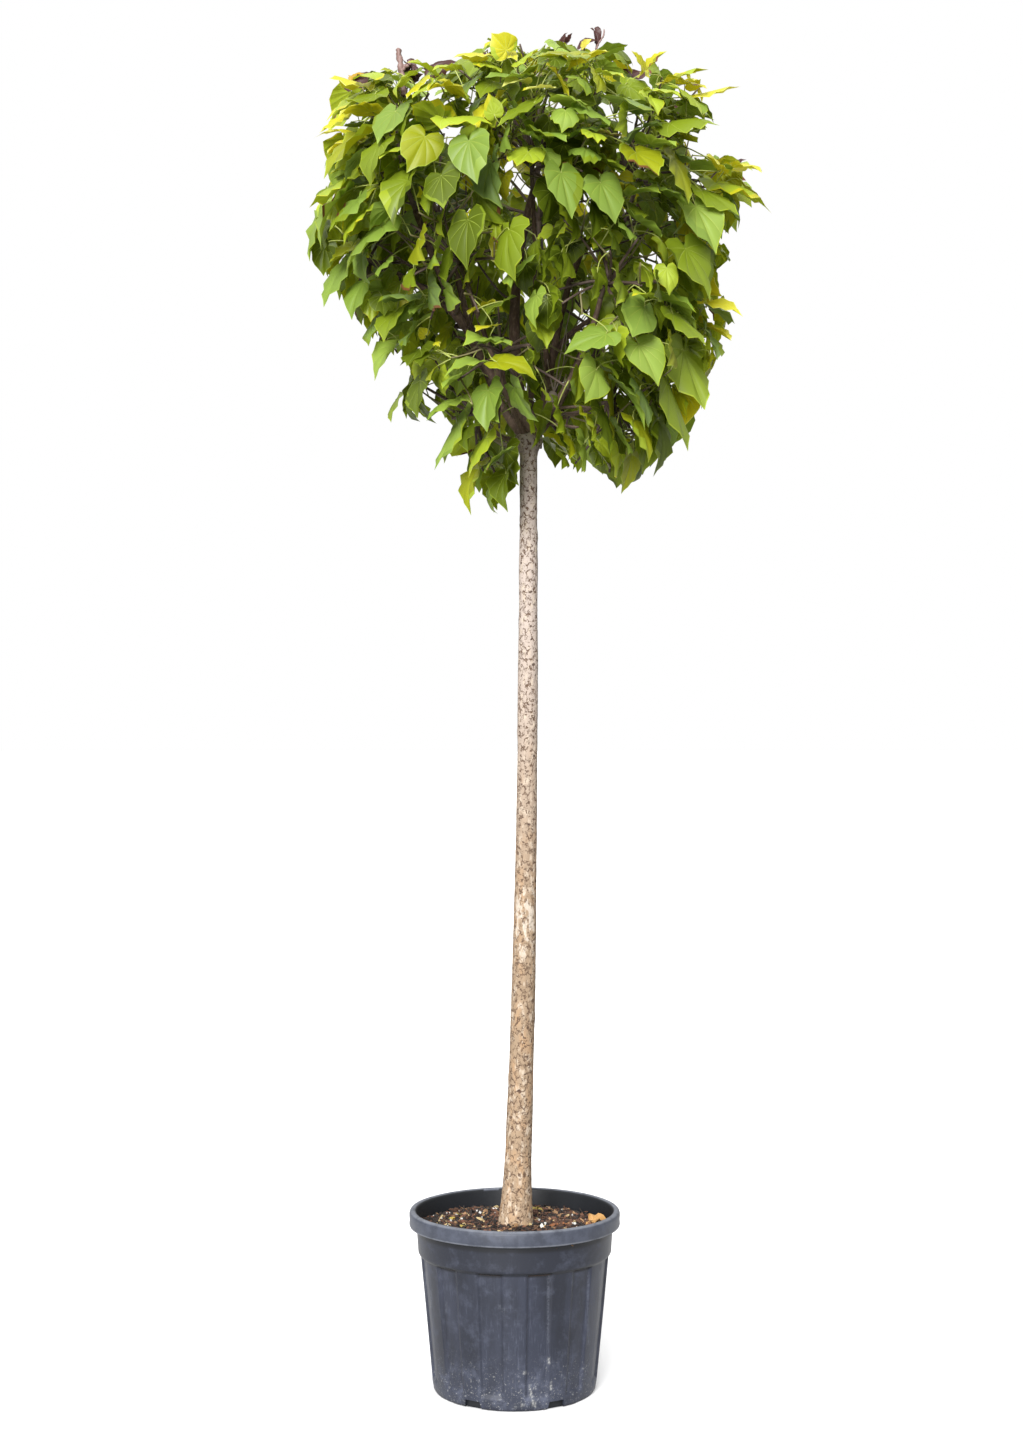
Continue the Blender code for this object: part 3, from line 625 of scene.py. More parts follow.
def bough_tube(name, rng, steps=54, sides=18):
    """A limb with a collar at its foot, rings at its nodes and rough bark."""
    shares = np.linspace(0, 1, steps)
    path = limb_points(name, shares)
    radii = limb_radii(name, shares)
    foot = LIMBS[name][2]
    length = np.linalg.norm(np.diff(path, axis=0), axis=1).sum()
    along = shares * length
    radii = radii + foot * 0.35 * np.exp(-along / 0.018)
    nodes = np.arange(rng.uniform(0.03, 0.06), length, rng.uniform(0.055, 0.085))
    for node in nodes:
        radii = radii + 0.0008 * np.exp(-(((along - node) / 0.005) ** 2))
    rounds = np.repeat(radii[:, None], sides, axis=1)
    points, faces = tube(path, rounds, sides)
    bark = lattice_noise(points * (260, 260, 90), 5) * 0.5 + lattice_noise(points * 60, 6) * 0.8
    heart = np.concatenate([np.repeat(path, sides, axis=0), path[:1], path[-1:]])
    points = points + unit(points - heart) * (bark * 0.00055)[:, None]
    return points, faces


# Cut stubs and dead spurs at the graft: foot, bend, tip, radius at foot and at tip
STUBS = (
    ((0.016, -0.012, 1.872), (-0.023, -0.060, 1.871), (-0.046, -0.085, 1.889), 0.0058, 0.0042),
    ((0.060, -0.020, 1.935), (0.070, -0.026, 1.960), (0.078, -0.028, 1.986), 0.0070, 0.0090),
)
DEAD_TWIGS = (
    ((0.078, -0.028, 1.985), (0.066, -0.034, 2.030), (0.062, -0.036, 2.075), 0.0016, 0.0008),
    ((0.078, -0.028, 1.985), (0.090, -0.034, 2.060), (0.112, -0.040, 2.150), 0.0017, 0.0008),
    ((0.078, -0.028, 1.985), (0.100, -0.030, 2.020), (0.104, -0.032, 2.110), 0.0015, 0.0008),
    ((0.072, -0.022, 1.950), (0.110, -0.030, 1.958), (0.150, -0.040, 1.952), 0.0036, 0.0024),
    ((0.060, -0.016, 1.925), (0.095, -0.026, 1.918), (0.128, -0.034, 1.914), 0.0034, 0.0022),
)


def bent_tube(batch, foot, bend, tip, thick, thin, sides, slot, steps=14):
    a, b, c = np.array(foot), np.array(bend), np.array(tip)
    path = bezier(a, a + (b - a) * 0.67, c + (b - c) * 0.67, c, np.linspace(0, 1, steps))
    radii = np.linspace(thick, thin, steps)
    radii[-1] *= 0.55
    batch.add(*tube(path, radii, sides), slot)


# Twigs


def mass_stem(name):
    """The path and radii of a mass's stem, which goes on from its limb and bends to the mass's middle."""
    limb, middle = MASSES[name][0], np.array(MASSES[name][1])
    before, tip = limb_points(limb, (0.8, 1.0))
    ahead = unit(tip - before)
    inward = unit(middle - tip)
    reach = np.linalg.norm(middle - tip) * MASS_STEM_SHARE
    crotch = tip + unit(ahead * 0.6 + inward * 0.4) * reach
    radius = LIMBS[limb][3] * MASS_STEM_TAPER
    path = bezier(tip - ahead * 0.004, tip + ahead * reach * 0.35, crotch - inward * reach * 0.3,
                  crotch, np.linspace(0, 1, 7))
    return path, np.linspace(radius, TWIG_RADII[0] * 1.25, 7)


def spread_ends(name, tip, count, rng):
    """Where a mass's twigs end: spread out over its space, short of the crown's outline."""
    middle = np.array(MASSES[name][1])
    inner = 0.0 if name == "crest" else TWIG_SHARES[0]
    chosen = [tip]
    for _ in range(count):
        spots = middle + np.array([[rng.gauss(0, TWIG_SPREAD) for _ in range(3)] for _ in range(TWIG_TRIES)])
        share = crown_share(spots + UP * TWIG_HEADROOM)
        good = in_space(spots, name, 0.0) & (share > inner) & (share < TWIG_SHARES[1])
        if good.any():
            spots = spots[good]
            gaps = np.linalg.norm(spots[:, None] - np.array(chosen)[None], axis=-1).min(axis=1)
            chosen.append(spots[int(np.argmax(gaps))])
    return chosen[1:]


def twig_curve(begin, lead, end, bow=TWIG_BOW, steps=TWIG_STEPS):
    bend = lead * (np.linalg.norm(end - begin) * bow)
    second, third = begin + (end - begin) / 3 + bend, begin + (end - begin) * 2 / 3 + bend
    return bezier(begin, second, third, end, np.linspace(0, 1, steps))


class Shoot:
    """A twig: its path and radii, the shoot that carries it and where, and how far along it a leaf or fork sits."""

    def __init__(self, path, radii, parent=0, at=0.0):
        self.path = path
        self.radii = np.linspace(*radii, len(path))
        self.parent = parent
        self.at = at
        self.last = 0.0
        self.young = radii[0] < 0.003

    def pruned(self):
        """The path and radii, cut off just past the last leaf or fork."""
        end = min(1.0, self.last + 0.04) * (len(self.path) - 1)
        places = np.linspace(0, end, len(self.path))
        whole = np.arange(len(self.path))
        path = np.stack([np.interp(places, whole, self.path[:, k]) for k in range(3)], axis=-1)
        return path, np.interp(places, whole, self.radii)


def point_along(path, at):
    """The point at this many steps along a path."""
    below = min(int(at), len(path) - 2)
    return path[below] + (path[below + 1] - path[below]) * (at - below)


def side_shoots(name, twig, number, rng, count):
    """Finer shoots that fork from a twig, turn upwards and stay in the mass's space."""
    grown = []
    for _ in range(count * 4):
        if len(grown) == count:
            break
        at = rng.uniform(0.25, 0.85)
        begin = point_along(twig, at * (len(twig) - 1))
        ahead = unit(twig[-1] - twig[0])
        sideways = unit(np.cross(ahead, unit(np.array([rng.gauss(0, 1) for _ in range(3)]))))
        heading = unit(ahead * 0.55 + sideways * 0.9 + UP * 0.35)
        end = begin + heading * rng.uniform(*SHOOT_REACH)
        if in_space(end[None], name, 0.0)[0] and crown_share((end + UP * TWIG_HEADROOM)[None])[0] < 0.93:
            grown.append(Shoot(twig_curve(begin, sideways, end, 0.10, 5), SHOOT_RADII, number, at))
    return grown


def node_sites(path, rng, number):
    """Whorls of three leaf sites along a shoot: (node, way out, share of the shoot, the shoot's number)."""
    length = np.linalg.norm(np.diff(path, axis=0), axis=1).sum()
    count = max(2, int(length * (1 - FIRST_NODE) / NODE_SPACING))
    across, beside = ring_axes(path)
    turn = rng.uniform(0, TURN)
    sites = []
    for k in range(count):
        share = FIRST_NODE + (0.97 - FIRST_NODE) * k / max(1, count - 1)
        at = share * (len(path) - 1)
        below = min(int(at), len(path) - 2)
        node = point_along(path, at)
        for step in range(3):
            angle = turn + k * TURN / 6 + step * TURN / 3
            side = across[below] * math.cos(angle) + beside[below] * math.sin(angle)
            sites.append((node, side, share, number))
    return sites


def grow_twigs(name, settings, rng):
    """The shoots of a mass, and its leaf sites."""
    stem, stem_radii = mass_stem(name)
    shoots, sites = [Shoot(stem, (stem_radii[0], stem_radii[-1]))], []
    for end in spread_ends(name, stem[0], settings.twigs, rng):
        at = rng.uniform(3.0, len(stem) - 1.05)
        twig = twig_curve(point_along(stem, at), unit(stem[-1] - stem[2]), end)
        if not in_space(twig[2:], name, -0.006).all():
            continue
        number = len(shoots)
        shoots.append(Shoot(twig, TWIG_RADII, 0, at / (len(stem) - 1)))
        sites += node_sites(twig, rng, number)
        for shoot in side_shoots(name, twig, number, rng, settings.side_shoots):
            sites += node_sites(shoot.path, rng, len(shoots))
            shoots.append(shoot)
    return shoots, sites


def prune(shoots):
    """Drops the shoots that carry no leaf and no fork, and says how far the others are needed."""
    for shoot in reversed(shoots[1:]):
        if shoot.last > 0:
            parent = shoots[shoot.parent]
            parent.last = max(parent.last, shoot.at)
    return [shoot for number, shoot in enumerate(shoots) if number == 0 or shoot.last > 0]


# Blades


def blade_columns():
    """(angle, side of a vein, share of the way between veins) for each column of a blade, tip in the middle."""
    degrees = [-d for d in reversed(RAY_DEGREES[1:])] + list(RAY_DEGREES)
    columns = []
    for degree in degrees:
        sides = (-1, 1) if abs(degree) in VEIN_DEGREES else (0,)
        columns += [(degree, side) for side in sides]
    return columns


COLUMNS = blade_columns()


def reach_of(degrees):
    return np.interp(np.abs(degrees), RAY_DEGREES, RAY_REACH)


def quilt_of(degrees):
    """0 on the veins and 1 half way between them."""
    stops = (*VEIN_DEGREES, 180)
    size = np.abs(degrees)
    low = np.array([max(v for v in stops if v <= s) for s in size])
    high = np.array([min(v for v in stops if v > s) for s in size])
    return np.sin(math.pi * (size - low) / (high - low)) ** 2


def blade_points(degrees, sides, rings, shape):
    """Points of blades in their own axes (along, across, up), for arrays of shape values.

    The result has one row per leaf: first the stalk's end, then each column from ring to ring."""
    degrees, sides = np.asarray(degrees, float), np.asarray(sides, float)
    ring = np.asarray(rings, float)[None, None, :]
    ray = np.radians(degrees)[None, :, None]
    ray = ray + VEIN_BOW * np.sin(ray) * (1 - ring)
    tooth = np.exp(-((degrees - shape["tooth_at"][:, None]) / 7.0) ** 2) * shape["tooth"][:, None]
    reach = (reach_of(degrees)[None] * (1 + tooth))[..., None] * ring
    vein = sides[None, :, None] * VEIN_HALF_WIDTH * (1.05 - 0.85 * ring)
    u = reach * np.cos(ray) - np.sin(ray) * vein
    v = (reach * np.sin(ray) + np.cos(ray) * vein) * shape["width"][:, None, None]
    fold, bend, curl = (shape[k][:, None, None] for k in ("fold", "bend", "curl"))
    bend = np.where(np.abs(bend) < 0.01, 0.01, bend)
    curl = np.where(np.abs(curl) < 0.01, 0.01, curl)
    w = fold * np.abs(v) - (1 - np.cos(bend * u)) / bend + (1 - np.cos(curl * v)) / curl
    w = w - 0.5 * shape["lobe"][:, None, None] * np.clip(-u, 0, None)
    u, v = np.sin(bend * u) / bend, np.sin(curl * v) / curl
    quilt = quilt_of(degrees)[None, :, None]
    w = w + shape["quilt"][:, None, None] * quilt * np.sin(np.pi * np.clip(ring, 0, 1) * 0.62)
    wave = np.sin(ray * shape["ripples"][:, None, None] + shape["phase"][:, None, None])
    w = w + shape["wave"][:, None, None] * wave * ring**3
    turn = shape["twist"][:, None, None] * u
    v, w = v * np.cos(turn) - w * np.sin(turn), v * np.sin(turn) + w * np.cos(turn)
    v = v + shape["swerve"][:, None, None] * u * np.abs(u)
    local = np.stack([u, v, w], axis=-1).reshape(len(u), -1, 3)
    return np.concatenate([np.zeros((len(u), 1, 3)), local], axis=1)


def blade_faces(columns, rings):
    """Triangles of one blade, and for each whether it lies on a vein, its ring and its column."""
    faces, marks = [], []
    for c in range(len(columns) - 1):
        vein = columns[c][0] == columns[c + 1][0]
        a, b = 1 + c * rings, 1 + (c + 1) * rings
        faces.append((0, a, b))
        marks.append((vein, 0, c))
        for r in range(rings - 1):
            faces += [(a + r, a + r + 1, b + r + 1), (a + r, b + r + 1, b + r)]
            marks += [(vein, r + 1, c), (vein, r + 1, c)]
    return np.array(faces), np.array(marks)


def random_shapes(rng, count, settings, limp=1.0):
    """Shape values of leaves, each a little different."""
    def spread(middle, wide):
        return np.array([rng.gauss(middle, wide) for _ in range(count)])

    tooth = np.array([rng.choice((0, 0, 0.10, 0.14)) for _ in range(count)])
    return {
        "width": settings.blade_width / settings.blade_length * spread(1.0, 0.06),
        "fold": spread(0.02, 0.16) * limp,
        "bend": spread(0.55, 0.45) * limp,
        "curl": spread(-0.35, 0.75) * limp,
        "lobe": spread(0.20, 0.28) * limp,
        "quilt": np.abs(spread(0.066, 0.018)),
        "ripples": spread(4.2, 0.8),
        "phase": np.array([rng.uniform(0, TURN) for _ in range(count)]),
        "wave": np.abs(spread(0.045, 0.020)) * limp,
        "twist": spread(0, 0.28) * limp,
        "swerve": spread(0, 0.07),
        "tooth": tooth,
        "tooth_at": np.array([rng.choice((-33.0, 33.0)) for _ in range(count)]),
    }


def to_world(local, joints, alongs, facings, lengths):
    """Places blades: local rows of (along, across, up) times each leaf's own axes and length."""
    beside = np.cross(facings, alongs)
    axes = np.stack([alongs, beside, facings], axis=1)
    return joints[:, None] + np.einsum("lpk,lkx->lpx", local, axes) * lengths[:, None, None]


BLADE_FACES, BLADE_MARKS = blade_faces(COLUMNS, len(RINGS))


def add_blade(batch, shape, foot, along, facing, length, slot):
    """Adds one blade to a batch."""
    local = blade_points(*zip(*COLUMNS), RINGS, shape)
    batch.add(to_world(local, foot[None], along[None], facing[None], np.array([length]))[0], BLADE_FACES, slot)


COARSE_SIDES = [0] * len(COARSE_DEGREES)
COARSE_RINGS = (0.35, 0.70, 1.0)
COARSE_FACES = blade_faces([(k, 0) for k in range(len(COARSE_DEGREES))], len(COARSE_RINGS))[0].tolist()


def rotate_about(vectors, axes, angles):
    """Each vector turned about its unit axis."""
    cos, sin = np.cos(angles)[:, None], np.sin(angles)[:, None]
    dot = (vectors * axes).sum(-1, keepdims=True)
    return vectors * cos + np.cross(axes, vectors) * sin + axes * dot * (1 - cos)


def leaf_tries(node, side, rng, count, settings):
    """Arrays of poses that a leaf at this site might take: joint, along, facing, length."""
    draw = np.random.default_rng(rng.getrandbits(32))
    outwards = np.array((node[0] - CROWN_X, node[1], 0.0))
    outwards = unit(outwards if np.linalg.norm(outwards) > 0.02 else np.array((side[0], side[1], 0.01)))
    lift = np.interp(node[2], DROOP_HEIGHTS, STALK_LIFT) + draw.uniform(-0.25, 0.25, count)
    stalk = unit(side + outwards * 0.55 + UP * lift[:, None])
    joints = node + stalk * draw.uniform(*STALK_LENGTHS, count)[:, None]
    droop = np.interp(joints[:, 2], DROOP_HEIGHTS, DROOP_DEG) + draw.normal(0, DROOP_SPREAD, count)
    droop = np.radians(droop)[:, None]
    heading = unit(stalk * (1, 1, 0) + outwards * 0.9)
    heading = rotate_about(heading, np.tile(UP, (count, 1)), draw.normal(0, SWING_SPREAD, count))
    along = heading * np.cos(droop) - UP * np.sin(droop)
    facing = rotate_about(heading * np.sin(droop) + UP * np.cos(droop), along,
                          draw.normal(0, ROLL_SPREAD, count))
    return joints, along, facing, settings.blade_length * draw.uniform(*BLADE_SIZES, count)


class Canopy:
    """The leaves placed so far, with what a new leaf has to stay clear of."""

    def __init__(self, wood, front):
        self.wood = wood
        self.front = front
        self.leaves = []
        self.middles = np.zeros((0, 3))
        self.trees = []

    def clear_of_others(self, coarse, middle):
        tree = BVHTree.FromPolygons(coarse.tolist(), COARSE_FACES)
        if tree.overlap(self.wood):
            return None
        near = np.nonzero(np.linalg.norm(self.middles - middle, axis=1) < NEAR_LEAVES)[0]
        if any(tree.overlap(self.trees[k]) for k in near):
            return None
        return tree

    def add(self, leaf, tree, middle):
        self.leaves.append(leaf)
        self.trees.append(tree)
        self.middles = np.concatenate([self.middles, middle[None]])

    def gap(self, middles):
        if not len(self.middles):
            return np.full(len(middles), 1.0)
        return np.linalg.norm(middles[:, None] - self.middles[None], axis=-1).min(axis=1)


# What the photograph shows open: column, row and radius of sky, in its pixels
SKY = (
    (471, 206, 11), (446, 136, 6), (428, 262, 8), (412, 290, 5), (688, 372, 11), (655, 258, 6),
    (560, 105, 4), (735, 140, 12), (640, 72, 7), (425, 392, 10), (470, 297, 5), (401, 377, 8),
    (437, 412, 5), (697, 414, 6),
)
# Boughs that it shows uncovered: column and row of both ends, half width, and how near a leaf may lie
OPEN_BOUGHS = (
    (503, 402, 473, 335, 9, 0.10), (473, 335, 430, 262, 9, 0.10), (430, 240, 408, 200, 8, 0.0),
    (513, 395, 514, 296, 8, 0.06), (523, 215, 528, 180, 7, 0.05), (543, 385, 580, 300, 8, 0.02),
    (488, 434, 513, 449, 7, 0.0), (520, 400, 524, 440, 8, 0.0),
    (566, 300, 586, 262, 5, 0.02), (640, 165, 690, 125, 5, 0.02), (614, 163, 648, 125, 5, 0.02),
    (687, 204, 717, 171, 4, 0.02), (378, 244, 416, 270, 5, -0.02),
)
# The crown's front line in the photograph
FRONT_LINE = (
    (318, 137), (331, 84), (346, 77), (350, 66), (372, 66), (382, 70), (394, 66), (408, 71), (430, 61), (456, 55),
    (481, 52), (484, 37), (500, 31), (518, 40), (521, 50), (537, 52), (545, 41), (560, 36), (574, 42), (580, 50),
    (628, 50), (645, 66), (667, 57), (669, 68), (708, 74), (700, 83), (715, 83), (741, 90), (706, 98),
    (719, 127), (697, 133), (692, 156), (738, 154), (760, 174), (772, 212), (742, 208), (741, 222), (729, 262),
    (718, 282), (744, 319), (730, 347), (721, 375), (713, 410), (690, 452), (657, 478), (624, 495), (606, 482),
    (590, 474), (562, 478), (545, 457), (538, 440), (520, 487), (509, 514), (470, 516), (461, 490), (466, 464),
    (436, 472), (442, 440), (428, 424), (391, 428), (386, 402), (372, 381), (370, 345), (353, 323), (324, 308),
    (328, 280), (309, 265), (304, 240), (310, 208), (328, 165),
)
# Leaves that it shows, by tint: stalk's end, tip and width in its pixels, then how deep it lies and its size
# Some tints are darker or lighter than the leaf's own colour, for the shade or light it stands in: painted shade and
# painted light.
SHOWN = {
    "pale": (
        (318, 220, 312, 264, 16), (458, 400, 428, 423, 14), (465, 412, 459, 447, 10), (465, 374, 444, 394, 12),
        (481, 362, 445, 380, 16), (396, 345, 374, 379, 22), (596, 370, 581, 404, 30), (434, 125, 402, 137, 11),
        (341, 197, 320, 250, 16), (575, 100, 546, 105, 10), (629, 196, 658, 200, 14), (651, 144, 673, 156, 11),
        (696, 207, 712, 257, 46, 0, 1.15), (446, 289, 460, 307, 13), (488, 339, 469, 351, 20), (491, 341, 511, 351, 16),
        (522, 264, 514, 292, 20), (457, 423, 437, 470, 15), (438, 250, 439, 272, 12), (659, 300, 694, 316, 12),
        (584, 444, 581, 475, 11), (639, 345, 656, 388, 38),
    ),
    "lime": (
        (441, 217, 444, 240, 10, 1, 0.6), (462, 92, 436, 87, 11, 1), (494, 114, 489, 94, 18, 0, 0.4),
        (369, 91, 328, 123, 17), (402, 147, 381, 168, 19), (347, 179, 312, 210, 12), (366, 212, 344, 247, 17),
        (445, 119, 492, 127, 16), (441, 122, 412, 115, 14), (494, 116, 508, 106, 12), (484, 64, 502, 77, 14),
        (519, 61, 540, 53, 9), (430, 72, 408, 67, 9), (456, 69, 433, 75, 10), (653, 91, 679, 105, 15),
        (649, 98, 656, 118, 17), (603, 73, 623, 83, 8), (528, 152, 517, 176, 38), (593, 133, 595, 150, 24),
        (486, 438, 469, 477, 15), (618, 455, 612, 481, 16), (647, 296, 632, 300, 10), (675, 382, 690, 393, 8),
        (474, 265, 470, 290, 10, 1), (546, 393, 545, 402, 10, 1), (626, 118, 613, 136, 18), (433, 83, 414, 106, 18),
        (716, 183, 770, 213, 24),
    ),
    "gold": (
        (506, 50, 491, 35, 33, 0, 0.5), (362, 84, 332, 84, 8), (370, 112, 339, 125, 12), (356, 133, 316, 138, 12),
        (352, 141, 330, 161, 14), (420, 82, 408, 103, 13), (444, 87, 473, 109, 17), (484, 55, 455, 64, 9),
        (503, 51, 517, 66, 16), (578, 65, 610, 59, 13), (645, 71, 666, 58, 11), (645, 71, 631, 56, 12),
        (668, 82, 707, 76, 11), (692, 96, 739, 91, 13), (721, 169, 704, 163, 9), (732, 168, 759, 182, 14),
        (721, 171, 747, 178, 8), (708, 327, 727, 347, 15), (491, 326, 477, 335, 10), (412, 291, 412, 304, 8),
        (484, 305, 469, 319, 12, 1), (425, 335, 419, 330, 12, 1, 0.45), (432, 345, 440, 350, 12, 1, 0.45),
        (422, 357, 416, 362, 12, 1, 0.45), (708, 303, 741, 320, 20),
    ),
    "cream": (
        (522, 82, 503, 92, 15), (545, 88, 522, 96, 12), (610, 134, 578, 131, 8),
    ),
    "fresh": (
        (601, 183, 616, 224, 38), (561, 173, 571, 220, 38), (395, 112, 379, 148, 30), (477, 78, 470, 102, 16),
        (522, 77, 486, 84, 11), (508, 127, 511, 156, 13), (359, 200, 330, 233, 17), (383, 227, 345, 275, 26),
        (600, 54, 627, 50, 6), (538, 108, 520, 123, 12), (542, 133, 562, 151, 20), (595, 128, 565, 148, 15),
        (588, 110, 608, 134, 22), (618, 222, 629, 247, 12), (717, 168, 686, 172, 7), (661, 188, 685, 212, 12),
        (639, 222, 658, 239, 9), (386, 262, 381, 283, 18), (377, 319, 371, 349, 16), (427, 304, 415, 321, 13),
        (515, 388, 538, 422, 14), (501, 455, 488, 475, 12), (620, 386, 644, 432, 12), (618, 431, 626, 458, 7),
        (606, 334, 565, 354, 32), (364, 283, 355, 321, 24), (345, 262, 326, 308, 20), (586, 150, 583, 171, 33),
        (491, 392, 500, 426, 24), (469, 141, 477, 185, 41), (644, 307, 634, 341, 34), (488, 391, 487, 432, 30),
    ),
    "dusky": (
        (366, 181, 334, 187, 12), (643, 105, 598, 96, 8), (643, 128, 623, 149, 15), (675, 154, 689, 166, 8),
        (407, 296, 383, 310, 15), (412, 333, 407, 351, 11), (429, 288, 443, 312, 18), (707, 306, 733, 330, 10),
        (706, 333, 714, 364, 12), (640, 390, 648, 428, 14), (492, 162, 503, 209, 28, 1),
    ),
    "mid": (
        (448, 99, 434, 116, 14), (408, 181, 395, 227, 28), (540, 64, 523, 77, 8), (401, 395, 391, 426, 14),
        (529, 405, 533, 437, 8), (597, 360, 616, 384, 14), (553, 448, 562, 475, 14), (557, 410, 554, 438, 14),
        (618, 277, 612, 309, 16), (566, 253, 562, 282, 17), (719, 249, 726, 265, 10), (480, 191, 505, 227, 20, 1),
        (568, 212, 570, 248, 22, 1), (414, 269, 417, 293, 18), (673, 314, 704, 348, 20),
        (686, 249, 708, 303, 46, 0, 1.15), (702, 191, 736, 219, 20), (670, 123, 718, 126, 22), (380, 144, 369, 187, 27),
        (396, 312, 386, 345, 26), (375, 94, 344, 108, 20), (668, 382, 684, 452, 20, 0, 1.2), (509, 230, 514, 281, 31),
        (534, 103, 497, 127, 18), (684, 351, 704, 410, 34),
    ),
    "olive": (
        (369, 134, 327, 181, 19), (394, 72, 381, 73, 8), (487, 137, 505, 175, 18, 1), (575, 56, 538, 63, 20),
        (598, 75, 596, 98, 17), (670, 134, 695, 151, 12), (674, 158, 687, 205, 20), (699, 199, 719, 214, 12),
        (479, 469, 470, 514, 17), (432, 371, 431, 383, 10), (420, 240, 427, 269, 22), (670, 346, 665, 369, 14),
        (632, 455, 622, 494, 20), (634, 420, 647, 463, 18), (611, 384, 609, 455, 10), (584, 415, 589, 448, 14),
        (561, 431, 566, 463, 10), (636, 153, 658, 182, 30), (425, 137, 409, 176, 42), (497, 362, 536, 380, 24),
    ),
    "deep": (
        (456, 103, 470, 119, 14, 1), (420, 350, 410, 369, 19), (430, 355, 422, 370, 16), (451, 250, 446, 285, 12),
        (503, 302, 489, 319, 14), (601, 159, 623, 180, 9), (611, 232, 610, 257, 17), (656, 333, 640, 353, 18),
        (658, 284, 652, 303, 14), (616, 308, 623, 328, 14), (658, 420, 655, 476, 20), (601, 410, 609, 455, 16),
        (591, 446, 592, 470, 9), (551, 192, 542, 229, 24, 1), (506, 451, 519, 486, 20), (474, 424, 468, 456, 20),
        (468, 220, 468, 270, 37), (441, 176, 444, 212, 36), (506, 474, 507, 512, 23), (420, 381, 418, 419, 20),
        (590, 204, 591, 242, 22, 1),
    ),
}
DEPTH_OF_LAYER = (0.0, 0.06)
YOUNG_ROWS = 110
# Twigs that it shows: foot, tip, the tip's depth, the radius at the foot, and whether the bark is young
SHOWN_TWIGS = (
    (613, 164, 649, 124, -0.10, 0.0034, 0), (634, 126, 642, 108, -0.12, 0.0022, 0),
    (646, 143, 659, 135, -0.10, 0.0018, 0), (610, 113, 633, 123, -0.10, 0.0016, 1),
    (687, 204, 719, 169, -0.06, 0.0026, 0), (586, 257, 671, 224, -0.12, 0.0026, 0),
    (466, 212, 466, 181, -0.05, 0.0022, 0), (470, 219, 473, 186, -0.05, 0.0018, 1),
    (416, 270, 378, 244, -0.10, 0.0030, 0), (416, 247, 394, 228, -0.10, 0.0022, 0),
    (426, 272, 396, 260, -0.08, 0.0020, 0), (506, 305, 476, 260, -0.06, 0.0030, 0),
    (457, 317, 465, 277, -0.06, 0.0026, 0), (472, 333, 479, 276, -0.05, 0.0022, 0),
    (498, 389, 494, 364, -0.04, 0.0030, 1), (551, 393, 542, 374, -0.04, 0.0026, 1),
    (553, 389, 568, 357, -0.04, 0.0026, 1), (560, 400, 566, 374, -0.05, 0.0024, 1),
    (563, 412, 591, 413, -0.06, 0.0026, 0), (563, 428, 577, 428, -0.05, 0.0022, 0),
)


def within(polygon, column, row):
    """Whether each place in the picture lies inside a closed line."""
    inside = np.zeros(np.shape(column), bool)
    for (x0, y0), (x1, y1) in zip(polygon, np.roll(polygon, -1, axis=0)):
        if y0 != y1:
            inside ^= ((row < y0) != (row < y1)) & (column < x0 + (row - y0) * (x1 - x0) / (y1 - y0))
    return inside


class Front:
    """How near a leaf may lie at each pixel of the photograph without hiding what shows there."""

    FREE, CLOSED = -9.0, 9.0

    def __init__(self, view):
        self.view = view
        self.row, self.column = np.mgrid[0:560, 280:800].astype(float)
        line = within(np.array(FRONT_LINE, float), self.column, self.row)
        self.depth = np.where(line, self.FREE, self.CLOSED)
        for column, row, radius in SKY:
            self.mark(np.hypot(self.column - column, self.row - row) < radius, self.CLOSED)
        for x0, y0, x1, y1, wide, depth in OPEN_BOUGHS:
            self.stroke(x0, y0, x1, y1, wide, depth)

    def mark(self, where, depth):
        here = self.depth[where]
        self.depth[where] = np.where(here == self.FREE, depth, np.minimum(here, depth))

    def stroke(self, x0, y0, x1, y1, wide, depth):
        share = (self.column - x0) * (x1 - x0) + (self.row - y0) * (y1 - y0)
        share = np.clip(share / ((x1 - x0) ** 2 + (y1 - y0) ** 2), 0, 1)
        off = np.hypot(self.column - x0 - share * (x1 - x0), self.row - y0 - share * (y1 - y0))
        self.mark(off < wide, depth)

    def leaf(self, outline):
        """Marks a leaf that the photograph shows, by the points round its edge."""
        column, row = pixels_of(outline, self.view)
        self.mark(within(np.stack([column, row], axis=-1), self.column, self.row), outline[:, 1].mean())

    def hidden_by(self, points):
        """Whether each try of points (tries, points, 3) hides what the photograph shows."""
        column, row = pixels_of(points, self.view)
        column = np.clip(np.rint(column).astype(int) - 280, 0, self.depth.shape[1] - 1)
        row = np.clip(np.rint(row).astype(int), 0, self.depth.shape[0] - 1)
        return (points[..., 1] < self.depth[row, column] - 0.004).any(axis=1)


def shown_rows():
    """(tint, stalk's end, tip, width, layer, size) of each leaf that shows, the widest first."""
    rows = [(tint, *row, *(0, 1.0)[len(row) - 5:]) for tint, group in SHOWN.items() for row in group]
    return sorted(rows, key=lambda row: -row[5])


def shown_axes(way, wide, length, side):
    """Along and facing of a blade that looks this long and wide from the front, its tip towards the viewer."""
    seen = np.linalg.norm(way) * 1.03
    ahead, deep = unit(way), np.array((0.0, 1.0, 0.0))
    across = np.cross(ahead, deep)
    lean = math.acos(min(1.0, seen / length))
    roll = math.acos(min(1.0, wide / (BLADE_ASPECT * length)))
    along = ahead * math.cos(lean) - deep * math.sin(lean)
    rest = ahead * math.sin(lean) + deep * math.cos(lean)
    besides = [across * math.cos(turn) + rest * math.sin(turn) for turn in (roll, -roll)]
    ways = [np.cross(along, beside) * sign for beside in besides for sign in (1, -1)]
    return along, max(ways, key=lambda way: way @ (0.8 * side, -1.0, 0.9))


